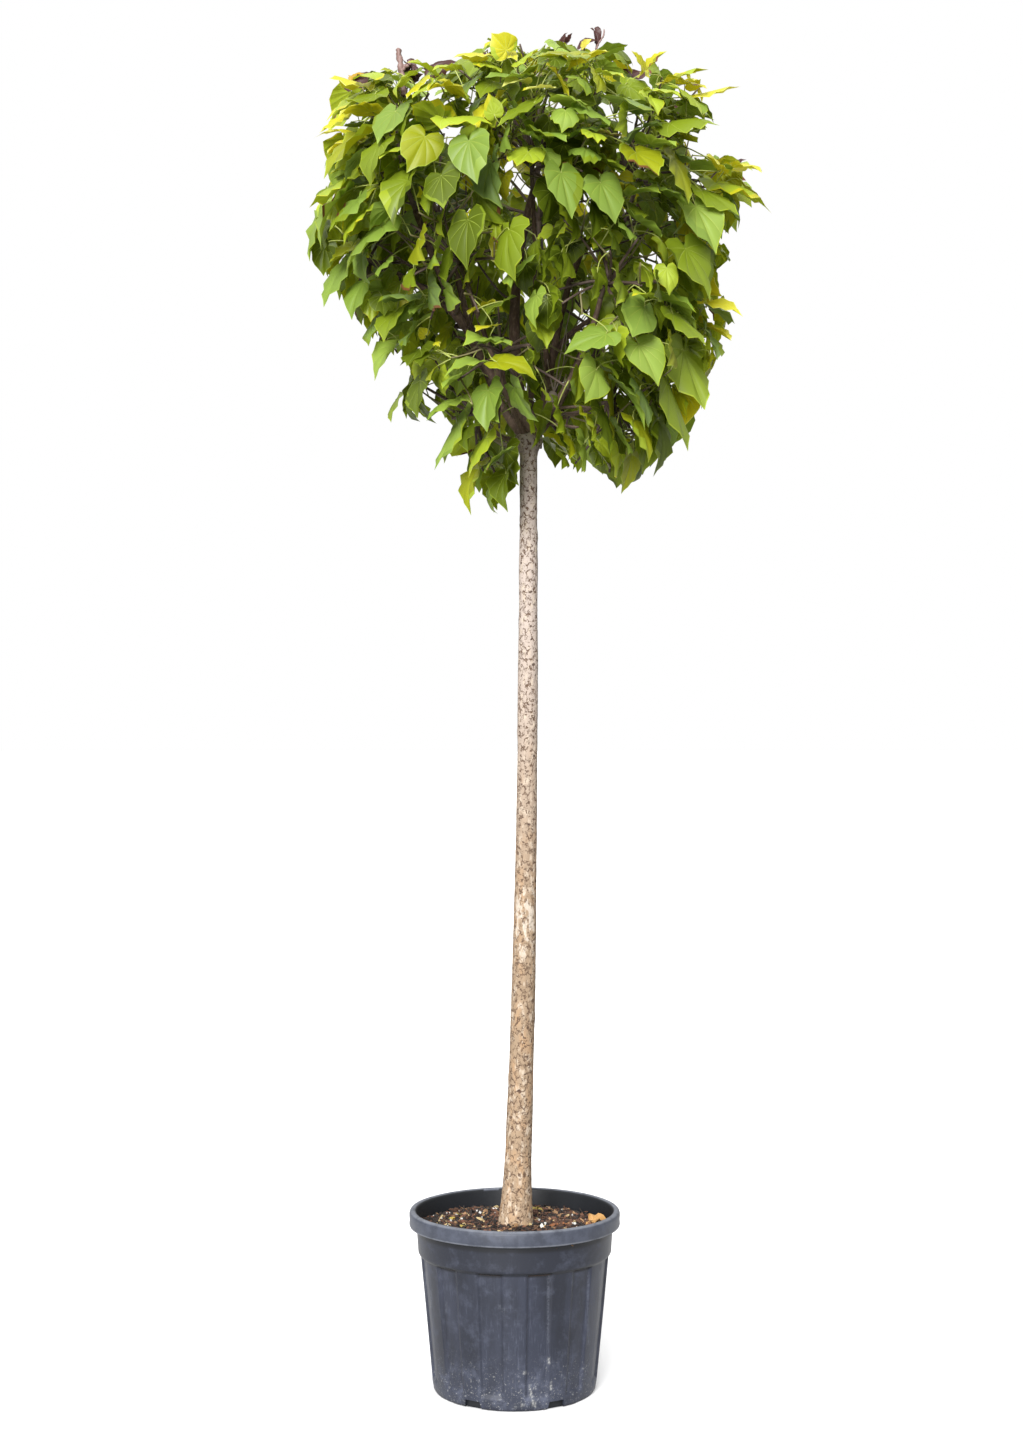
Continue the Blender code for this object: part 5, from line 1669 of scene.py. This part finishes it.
def make_chips(settings):
    rng = np.random.default_rng(settings.seed)
    chips = Batch()
    for _ in range(settings.chips):
        x, y = scatter_spot(rng)
        shred = rng.random() < 0.45
        size = (
            np.array((rng.uniform(0.008, 0.026), rng.uniform(0.002, 0.005), rng.uniform(0.0008, 0.002)))
            if shred else rng.uniform(0.002, 0.008) * rng.uniform(0.5, 1.3, 3)
        )
        points, faces = chip(rng, size)
        points = points @ tumble(rng, 0.35 if shred else 0.9)
        lift = mix_height(np.array([x]), np.array([y]), settings.top)[0] + rng.uniform(-0.0008, 0.0022)
        slot = rng.choice(5, p=(0.44, 0.26, 0.17, 0.08, 0.05))
        chips.add(points + (x, y, lift), faces, slot)
    colours = {
        "peat_dark": (0.012, 0.007, 0.005), "bark_brown": (0.060, 0.025, 0.012),
        "bark_red": (0.105, 0.042, 0.021), "bark_tan": (0.220, 0.125, 0.058), "fibre": (0.380, 0.290, 0.140),
    }
    finishes = [plain_finish(name, colour, 0.85) for name, colour in colours.items()]
    settle(chips.piece("bark_chips", finishes, 30), "potting_mix")


def make_grains(settings, view):
    """White grains, those that the photograph shows in their places."""
    rng = np.random.default_rng(settings.seed + 1)
    grains = Batch()
    spots = [(*mix_spot(column, row, settings.top + 0.004, view)[:2], size) for column, row, size in SHOWN_GRAINS]
    spots += [(*scatter_spot(rng), rng.uniform(0.0020, 0.0044)) for _ in range(settings.perlite)]
    for x, y, size in spots:
        points, faces = chip(rng, size * rng.uniform(0.5, 0.9, 3))
        lift = mix_height(np.array([x]), np.array([y]), settings.top)[0] + 0.0026
        grains.add(points @ tumble(rng, 1.2) + (x, y, lift), faces)
    settle(grains.piece("white_grains", [plain_finish("white_grain", (0.46, 0.45, 0.42), 0.8)], 60), "potting_mix")


# Fallen leaf scraps on the mix: column and row in the photograph, size, turn, tint
SCRAPS = (
    (598, 1219, 0.034, 20, "amber"), (588, 1221, 0.018, 140, "amber"), (536, 1207, 0.022, 75, "straw"),
    (541, 1209, 0.012, 10, "straw"), (553, 1224, 0.018, 200, "rust"), (452, 1217, 0.015, 300, "straw"),
    (459, 1214, 0.011, 120, "straw"), (463, 1225, 0.011, 20, "straw"), (566, 1223, 0.012, 30, "rust"),
)
# White grains and chips that the photograph shows: column, row, size
SHOWN_GRAINS = (
    (451, 1221, 0.007), (457, 1215, 0.006), (462, 1219, 0.006), (477, 1213, 0.007), (480, 1214, 0.006),
    (493, 1210, 0.008), (496, 1209, 0.006), (539, 1222, 0.009), (542, 1228, 0.009), (545, 1225, 0.007),
    (573, 1225, 0.007), (575, 1225, 0.006), (434, 1216, 0.005), (520, 1205, 0.005),
)


def mix_spot(column, row, height, view):
    """The point at this height that the photograph shows at this pixel."""
    away = (view.height - height) * FOCAL_PIXELS / (row - HORIZON_ROW)
    return pixel_point(column, row, away - view.distance, view)


def make_scraps(settings, view):
    """Curled scraps of dead leaf that lie on the mix."""
    rng = random.Random(settings.seed)
    tints = {"amber": (0.40, 0.22, 0.075), "straw": (0.34, 0.26, 0.05), "rust": (0.22, 0.08, 0.025)}
    names = list(tints)
    scraps = Batch()
    for column, row, size, turn, tint in SCRAPS:
        spot = mix_spot(column, row, settings.top + 0.010, view)
        shape = random_shapes(rng, 1, bpy.context.scene.catalpa_crown, 2.0)
        angle = math.radians(turn)
        along = unit(np.array((math.cos(angle), math.sin(angle), 0.15)))
        facing = np.array((rng.gauss(0, 0.35), rng.gauss(0, 0.35) - 0.3, 1.0))
        facing = unit(facing - along * (facing @ along))
        add_blade(scraps, shape, spot - along * size * 0.3, along, facing, size, names.index(tint))
    finishes = [leaf_finish("scrap_" + name, colour, colour, 0.15) for name, colour in tints.items()]
    settle(scraps.piece("fallen_scraps", finishes), "leaf_green")


# Bark


def stem_finish(settings):
    """Dry tan bark: short brown cracks, dark pits, pale scraped patches, greyer and lighter towards the graft, the
    lightness partly painted light where the crown shades the stem.
    """
    finish = Finish("tan_bark", tuple(settings.pale_colour), 0.82, Specular_IOR_Level=0.25)
    height = finish.height()
    fine = finish.noise(finish.place((1, 1, 0.5)), 330, 4, 0.65)
    blotch = finish.noise(finish.place((1, 1, 0.35)), 48, 3, 0.6)
    # Greyer bark towards the graft, lightened there as painted light against the crown's shade.
    base = finish.mix(tuple(settings.pale_colour), tuple(settings.grey_colour), height.between(0.9, 1.6))
    warm = finish.mix(base, (0.350, 0.222, 0.125), blotch.between(0.46, 0.70) * height.between(1.5, 0.7) * 0.8)
    light = finish.noise(finish.place((1, 1, 0.5)), 95, 3).between(0.52, 0.66)
    pale = finish.mix(warm, (0.470, 0.390, 0.305), light * 0.7)
    lines = finish.cells(finish.warped(150, 0.010, (1, 1, 0.62)), 96, "DISTANCE_TO_EDGE").between(0.13, 0.03)
    twigs = finish.cells(finish.warped(260, 0.006, (1, 1, 1.5)), 170, "DISTANCE_TO_EDGE").between(0.12, 0.03)
    broken = finish.noise(finish.place(), 120, 2).between(0.46, 0.58)
    other = finish.noise(finish.place((1, 1, 0.7)), 150, 2).between(0.52, 0.62)
    cracks = (lines * broken).most(twigs * other * 0.8)
    brown = (cracks * 1.0 + finish.mark("crevice").between(0.62, 0.95) * 0.6 + fine.between(0.60, 0.76) * 0.35).least(1.0)
    colour = finish.mix(pale, tuple(settings.crevice_colour), brown)
    scraped = scraped_patch(finish)
    colour = finish.mix(colour, (0.520, 0.455, 0.380), scraped * 0.75)
    pits = finish.mark("pit").between(0.25, 0.75)
    colour = finish.mix(colour, (0.060, 0.036, 0.026), pits * 0.92)
    moss = finish.noise(finish.place(), 30, 2).between(0.6, 0.75) * height.between(1.85, 1.95)
    colour = finish.mix(colour, (0.20, 0.14, 0.11), moss)
    return finish.wear(colour, None, fine * 0.5 + blotch * 0.2 - cracks * 0.7, 0.0014, 0.7)


def scraped_patch(finish):
    """A mask for the pale scraped places at the front, half way up."""
    height = finish.height()
    band = height.between(0.845, 0.875) * height.between(1.005, 0.985)
    front = finish.add("ShaderNodeSeparateXYZ", None, {0: finish.place()}, "Y").between(-0.008, -0.016)
    torn = finish.noise(finish.place((1, 1, 0.42)), 78, 4, 0.65).between(0.50, 0.58)
    return band * front * torn


def make_stem(settings):
    points, faces, marks = stem_mesh(settings)
    stem = array_piece("stem_bark", points, faces, [stem_finish(settings)])
    for name, values in marks.items():
        hold(stem.data, name, values)
    settle(stem, "pale_bark", "stem")


def bough_finish(name, colour, light):
    """Dark bark with greyer ridges."""
    finish = Finish(name, colour, 0.72, Specular_IOR_Level=0.3)
    ridges = finish.noise(finish.place((1, 1, 0.35)), 240, 4, 0.6)
    blotch = finish.noise(finish.place((1, 1, 0.6)), 34, 3)
    near_graft = finish.height().between(2.08, 1.93) * 0.45
    pale = (ridges.between(0.46, 0.72) * 0.60 + blotch.between(0.45, 0.70) * 0.25 + near_graft).least(1.0)
    shade = finish.mix(colour, light, pale)
    return finish.wear(shade, None, ridges, 0.0010, 0.6)


def make_boughs(settings):
    rng = random.Random(settings.seed)
    boughs = Batch()
    for name in LIMBS:
        points, faces = bough_tube(name, rng)
        boughs.add(points, faces, 0)
    for foot, bend, tip, thick, thin in STUBS:
        bent_tube(boughs, foot, bend, tip, thick, thin, 12, 1)
    for foot, bend, tip, thick, thin in DEAD_TWIGS:
        bent_tube(boughs, foot, bend, tip, thick, thin, 7, 1 if thick < 0.002 else 0)
    dark = tuple(settings.bough_colour)
    finishes = [
        bough_finish("bough_bark", dark, (0.215, 0.150, 0.110)),
        bough_finish("grey_stub", (0.30, 0.235, 0.20), (0.46, 0.38, 0.33)),
    ]
    settle(boughs.piece("boughs_bark", finishes), "brown_bark", *LIMBS)


# Crown


def wood_tree(shoots):
    """A search tree over the limbs and the shoots, both a little thinner than they show."""
    wood = Batch()
    heights = np.linspace(STEM_FOOT_Z + 1.2, GRAFT_Z, 6)
    wood.add(*tube(stem_axis(heights), stem_radius(heights), 8))
    for name in LIMBS:
        shares = np.linspace(0, 1, 8)
        wood.add(*tube(limb_points(name, shares), limb_radii(name, shares), 6))
    for shoot in shoots:
        wood.add(*tube(shoot.path, shoot.radii * 0.8, 3))
    return BVHTree.FromPolygons(np.concatenate(wood.points).tolist(), np.concatenate(wood.faces).tolist())


def grow_crown(settings, view):
    """All shoots by mass, and the canopy of leaves on them."""
    shoots, sites = {}, {}
    for name in MASSES:
        shoots[name], sites[name] = grow_twigs(name, settings, random.Random(f"{settings.seed} {name}"))
    canopy = Canopy(wood_tree([]), Front(view))
    place_shown(canopy, shoots, random.Random(settings.seed), settings)
    place_shown_twigs(canopy, shoots)
    canopy.wood = wood_tree([shoot for group in shoots.values() for shoot in group])
    for name in MASSES:
        rng = random.Random(f"leaves {settings.seed} {name}")
        leaf_mass(name, sites[name], canopy, shoots[name], rng, settings)
    return {name: prune(group) for name, group in shoots.items()}, canopy


def twig_finishes():
    old = Finish("twig_bark", (0.070, 0.045, 0.032), 0.7)
    young = Finish("young_twig", (0.150, 0.130, 0.050), 0.6)
    return [old.material, young.material]


def make_twigs(shoots):
    finishes = twig_finishes()
    for name, group in shoots.items():
        twigs = Batch()
        for number, shoot in enumerate(group):
            path, radii = shoot.pruned()
            twigs.add(*tube(path, radii, 8 if number == 0 else 6), int(shoot.young))
        settle(twigs.piece(f"{name}_twigs", finishes), "brown_bark")


def leaf_finishes(tints):
    """Blade, vein, margin and stalk finishes in the order of the slots."""
    finishes = []
    for tint in TINTS:
        colour = tuple(getattr(tints, tint))
        glow = tuple(min(1.0, c * k) for c, k in zip(colour, (1.55, 1.45, 0.9)))
        finishes.append(leaf_finish("leaf_" + tint, colour, glow))
    pale = tuple(tints.vein)
    dull = tuple(0.45 * a + 0.55 * b for a, b in zip(tints.vein, tints.mid))
    finishes += [leaf_finish("leaf_vein_pale", pale, pale), leaf_finish("leaf_vein_green", dull, dull)]
    finishes.append(leaf_finish("leaf_dry_margin", tuple(tints.rust), tuple(tints.rust), 0.15))
    finishes.append(plain_finish("leaf_stalk", tuple(tints.stalk), 0.5))
    return finishes


VEIN_SLOT = len(TINTS)
DRY_SLOT = VEIN_SLOT + 2
STALK_SLOT = VEIN_SLOT + 3
LIGHT_TINTS = ("gold", "cream", "lime", "pale")


def leaf_slots(tint, marks, rng):
    """The finish of each face of a leaf: blade, veins, a painted highlight along the edge, a few other places and dry
    margins.
    """
    vein, ring, column = marks.T
    slots = np.full(len(marks), TINTS.index(tint))
    # Painted highlight: the outer ring takes a lighter tint.
    slots[ring == len(RINGS) - 1] = TINTS.index(EDGE_HIGHLIGHTS[tint])
    for _ in range(rng.choice((0, 0, 1, 2))):
        first, reach = rng.randrange(len(COLUMNS)), rng.randint(3, 9)
        near = (column >= first) & (column < first + reach) & (ring >= rng.choice((3, 4)))
        slots[near] = TINTS.index(rng.choice(NEIGHBOURS[tint]))
    slots[vein == 1] = VEIN_SLOT + (tint not in LIGHT_TINTS)
    if rng.random() < (0.30 if tint in ("gold", "olive") else 0.07):
        first = rng.randrange(len(COLUMNS))
        slots[(ring >= len(RINGS) - 2) & (column >= first) & (column < first + rng.randint(2, 8))] = DRY_SLOT
    return slots


def make_leaves(canopy, settings, tints):
    """One piece of leaves for each mass, which stands for that mass's solid."""
    finishes = leaf_finishes(tints)
    for name in MASSES:
        rng = random.Random(f"tints {settings.seed} {name}")
        group = [leaf for leaf in canopy.leaves if leaf[0] == name]
        shape = {key: np.array([leaf[3][key] for leaf in group]) for key in group[0][3]}
        _, _, joints, alongs, facings, lengths = (np.array(values) for values in zip(*[leaf[2] for leaf in group]))
        points = to_world(blade_points(*zip(*COLUMNS), RINGS, shape), joints, alongs, facings, lengths)
        leaves, sprays = Batch(), {}
        for k, (_, spray, pose, _) in enumerate(group):
            if spray in TINTS:
                tint = spray
            else:
                sprays.setdefault(spray, deal_tint(pose[2], rng))
                tint = leaf_tint(sprays[spray], rng)
            leaves.add(points[k], BLADE_FACES, leaf_slots(tint, BLADE_MARKS, rng))
            leaves.add(*tube(petiole(pose), np.linspace(0.0013, 0.0009, 6), 4), STALK_SLOT)
        settle(leaves.piece(f"{name}_leaves", finishes), "leaf_green", "foliage_" + name)


# Withered leaves on top: both ends in the photograph's pixels, depth, width and roll as shares of the length,
# bend, tint
WITHERED = (
    (349, 82, 372, 68, -0.10, 0.55, 3.4, 0.8, "maroon"), (352, 76, 366, 70, -0.106, 0.35, 2.0, 0.5, "amber"),
    (405, 82, 422, 71, -0.06, 0.50, 4.5, 0.6, "maroon"), (410, 70, 401, 80, -0.07, 0.45, 4.0, 1.5, "maroon"),
    (430, 68, 457, 56, 0.02, 0.50, 5.0, 0.7, "maroon"), (479, 53, 488, 57, 0.02, 0.45, 4.0, 0.3, "maroon"),
    (560, 42, 566, 31, 0.00, 0.40, 4.5, 0.5, "maroon"), (567, 43, 575, 33, 0.01, 0.40, 4.0, -0.6, "maroon"),
    (582, 47, 593, 31, -0.02, 0.40, 4.0, 1.2, "maroon"), (595, 31, 603, 46, -0.01, 0.34, 4.5, 1.2, "maroon"),
    (583, 47, 590, 38, -0.03, 0.60, 1.5, 0.4, "straw"),
    (625, 82, 650, 68, 0.00, 0.50, 5.0, 0.7, "maroon"), (663, 92, 678, 84, -0.04, 0.40, 4.5, 0.5, "maroon"),
    (676, 107, 694, 99, -0.05, 0.42, 4.5, 0.4, "maroon"), (728, 168, 745, 155, 0.02, 0.55, 4.0, 0.6, "maroon"),
    (724, 179, 749, 171, 0.00, 0.42, 4.5, 1.2, "russet"), (702, 163, 706, 167, 0.00, 0.60, 4.0, 0.3, "maroon"),
    (576, 78, 594, 100, -0.12, 0.55, 3.0, 1.0, "pink"), (498, 98, 513, 93, -0.14, 0.45, 4.0, 0.5, "russet"),
    (408, 64, 419, 76, -0.07, 0.40, 4.2, 0.4, "maroon"),
)
# The dead shoot and the stalk tip on top: foot, tip, depth, radii
DEAD_SHOOTS = (
    (403, 96, 398, 48, -0.08, 0.0072, 0.0052), (402, 72, 409, 60, -0.08, 0.0050, 0.0034),
    (596, 50, 604, 29, -0.01, 0.0022, 0.0012),
)


def make_withered(tints, view, settings):
    """Curled dead leaves and a dead shoot on top of the crown."""
    rng = random.Random(settings.seed)
    colours = {
        "maroon": tuple(tints.maroon), "russet": tuple(tints.russet), "amber": (0.36, 0.22, 0.015),
        "straw": (0.45, 0.40, 0.05), "pink": (0.26, 0.15, 0.11), "dead_shoot": (0.22, 0.135, 0.12),
    }
    names = list(colours)
    dead = Batch()
    for x0, y0, x1, y1, depth, width, curl, bend, tint in WITHERED:
        foot, tip = pixel_point(x0, y0, depth, view), pixel_point(x1, y1, depth - 0.012, view)
        length = np.linalg.norm(tip - foot)
        shape = random_shapes(rng, 1, settings, 1.0)
        shape["width"][:] = width * 1.7
        shape["curl"][:] = curl * rng.choice((-1, 1)) / 1.6
        shape["bend"][:], shape["lobe"][:], shape["swerve"][:] = bend, 0.1, 0.0
        shape["wave"][:], shape["twist"][:] = 0.06, rng.choice((-0.5, 0.5))
        along = (tip - foot) / length
        facing = unit(np.cross(along, np.cross((0.2, -0.7, 0.7), along)))
        add_blade(dead, shape, foot, along, facing, length, names.index(tint))
    for x0, y0, x1, y1, depth, thick, thin in DEAD_SHOOTS:
        foot, tip = pixel_point(x0, y0, depth, view), pixel_point(x1, y1, depth, view)
        path = bezier(foot, foot + (0.004, 0, 0.02), tip + (0.003, 0, -0.02), tip, np.linspace(0, 1, 22))
        radii = np.linspace(thick, thin, 22)[:, None] * (1 + 0.28 * np.array([[rng.gauss(0, 1) for _ in range(9)]
                                                                             for _ in range(22)]).clip(-1.2, 1.2))
        radii[-1] *= 0.4
        dead.add(*tube(path, radii, 9), names.index("dead_shoot"))
    finishes = [leaf_finish("withered_" + name, colour, colour, 0.1) for name, colour in colours.items()]
    settle(dead.piece("withered_leaves", finishes), "leaf_green")


# Stage


def make_floor(view):
    """A pale flat floor that reaches to the horizon and throws no light back at the plant."""
    reach = 20000.0
    points = np.array([(x, y, 0.0) for x in (-reach, reach) for y in (-reach, reach)])
    floor = array_piece("floor", points, np.array([(0, 2, 3, 1)]), [plain_finish("pale_floor", tuple(view.floor_colour), 0.9)])
    floor.visible_diffuse = False


def make_sun(view):
    """One broad soft light from the front, to the left and above."""
    lamp = bpy.data.lights.new("soft_light", "SUN")
    lamp.energy, lamp.angle = view.key, view.softness
    made = bpy.data.objects.new("soft_light", lamp)
    bpy.context.scene.collection.objects.link(made)
    turn, rise = view.key_turn, view.key_rise
    way = Vector((-math.sin(turn) * math.cos(rise), -math.cos(turn) * math.cos(rise), math.sin(rise)))
    made.rotation_euler = way.to_track_quat("Z", "Y").to_euler()


def make_camera(view):
    lens = bpy.data.cameras.new("camera")
    lens.sensor_width = 36.0
    lens.lens = FOCAL_PIXELS * 36.0 / PICTURE_ROWS
    lens.shift_y = (HORIZON_ROW - PICTURE_ROWS / 2) / PICTURE_ROWS
    camera = bpy.data.objects.new("camera", lens)
    camera.location = (view.sideways, -view.distance, view.height)
    camera.rotation_euler = (math.pi / 2, 0, 0)
    bpy.context.scene.collection.objects.link(camera)
    bpy.context.scene.camera = camera


class Surroundings(Finish):
    """The world and its node tree."""

    def __init__(self, name):
        self.world = bpy.data.worlds.new(name)
        self.world.use_nodes = True
        self.tree = self.world.node_tree
        self.shader = self.tree.nodes["Background"]


def make_world(view):
    """Surroundings that are brighter overhead than below, and plain white behind the plant."""
    sky = Surroundings("pale_surroundings")
    rise = sky.add("ShaderNodeSeparateXYZ", None, {0: sky.add("ShaderNodeTexCoord", output="Generated")}, "Z")
    above = rise.between(0.0, 0.9) * (view.zenith - view.horizon)
    light = view.below + rise.between(-0.06, 0.06) * (view.horizon - view.below) + above
    seen = sky.add("ShaderNodeLightPath", output="Is Camera Ray")
    sky.feed(sky.shader.inputs["Strength"], light + (1.0 - light) * seen)
    sky.shader.inputs["Color"].default_value = (1.0, 1.0, 1.0, 1.0)
    bpy.context.scene.world = sky.world


# Operators


class CATALPA_OT_container(bpy.types.Operator):
    """Build the fluted container with its rolled rim and drain notches"""

    bl_idname = "catalpa.container"
    bl_label = "Container"

    def execute(self, context):
        make_container(context.scene.catalpa_container, context.scene.catalpa_stage)
        return {"FINISHED"}


class CATALPA_OT_mix(bpy.types.Operator):
    """Build the potting mix with chips, white grains and fallen scraps"""

    bl_idname = "catalpa.mix"
    bl_label = "Potting mix"

    def execute(self, context):
        settings = context.scene.catalpa_mix
        make_mix_body(settings)
        make_chips(settings)
        make_grains(settings, context.scene.catalpa_stage)
        make_scraps(settings, context.scene.catalpa_stage)
        return {"FINISHED"}


class CATALPA_OT_bark(bpy.types.Operator):
    """Build the stem and the boughs with the relief of their bark"""

    bl_idname = "catalpa.bark"
    bl_label = "Stem and boughs"

    def execute(self, context):
        make_stem(context.scene.catalpa_bark)
        make_boughs(context.scene.catalpa_bark)
        return {"FINISHED"}


class CATALPA_OT_crown(bpy.types.Operator):
    """Grow the twigs and the leaves of every mass of foliage"""

    bl_idname = "catalpa.crown"
    bl_label = "Twigs and leaves"

    def execute(self, context):
        scene = context.scene
        shoots, canopy = grow_crown(scene.catalpa_crown, scene.catalpa_stage)
        if not canopy.leaves:
            raise RuntimeError("no leaf found room in the crown")
        make_twigs(shoots)
        make_leaves(canopy, scene.catalpa_crown, scene.catalpa_tints)
        return {"FINISHED"}


class CATALPA_OT_withered(bpy.types.Operator):
    """Add the curled dead leaves and the dead shoot on top"""

    bl_idname = "catalpa.withered"
    bl_label = "Withered leaves"

    def execute(self, context):
        scene = context.scene
        make_withered(scene.catalpa_tints, scene.catalpa_stage, scene.catalpa_crown)
        return {"FINISHED"}


class CATALPA_OT_stage(bpy.types.Operator):
    """Set the floor, the lights, the surroundings and the camera"""

    bl_idname = "catalpa.stage"
    bl_label = "Stage"

    def execute(self, context):
        view = context.scene.catalpa_stage
        make_floor(view)
        make_world(view)
        make_sun(view)
        make_camera(view)
        context.scene.view_settings.view_transform = "Standard"
        return {"FINISHED"}


class CATALPA_PT_panel(bpy.types.Panel):
    """Lists the pieces of the catalpa"""

    bl_label = "Catalpa"
    bl_idname = "CATALPA_PT_panel"
    bl_space_type = "VIEW_3D"
    bl_region_type = "UI"
    bl_category = "Catalpa"

    def draw(self, context):
        for operator in OPERATORS:
            self.layout.operator(operator.bl_idname)
        for key in SETTINGS:
            box = self.layout.box()
            group = getattr(context.scene, key)
            for name in group.__annotations__:
                box.prop(group, name)


SETTINGS = {
    "catalpa_container": ContainerSettings,
    "catalpa_mix": MixSettings,
    "catalpa_bark": BarkSettings,
    "catalpa_crown": CrownSettings,
    "catalpa_tints": TintSettings,
    "catalpa_stage": StageSettings,
}
OPERATORS = (
    CATALPA_OT_stage,
    CATALPA_OT_container,
    CATALPA_OT_mix,
    CATALPA_OT_bark,
    CATALPA_OT_crown,
    CATALPA_OT_withered,
)


def register():
    for key, group in SETTINGS.items():
        bpy.utils.register_class(group)
        setattr(bpy.types.Scene, key, PointerProperty(type=group))
    for item in (*OPERATORS, CATALPA_PT_panel):
        bpy.utils.register_class(item)


def unregister():
    for item in (CATALPA_PT_panel, *reversed(OPERATORS)):
        bpy.utils.unregister_class(item)
    for key, group in SETTINGS.items():
        delattr(bpy.types.Scene, key)
        bpy.utils.unregister_class(group)


def main():
    register()
    for operator in OPERATORS:
        group, name = operator.bl_idname.split(".")
        getattr(getattr(bpy.ops, group), name)()


if __name__ == "__main__":
    main()
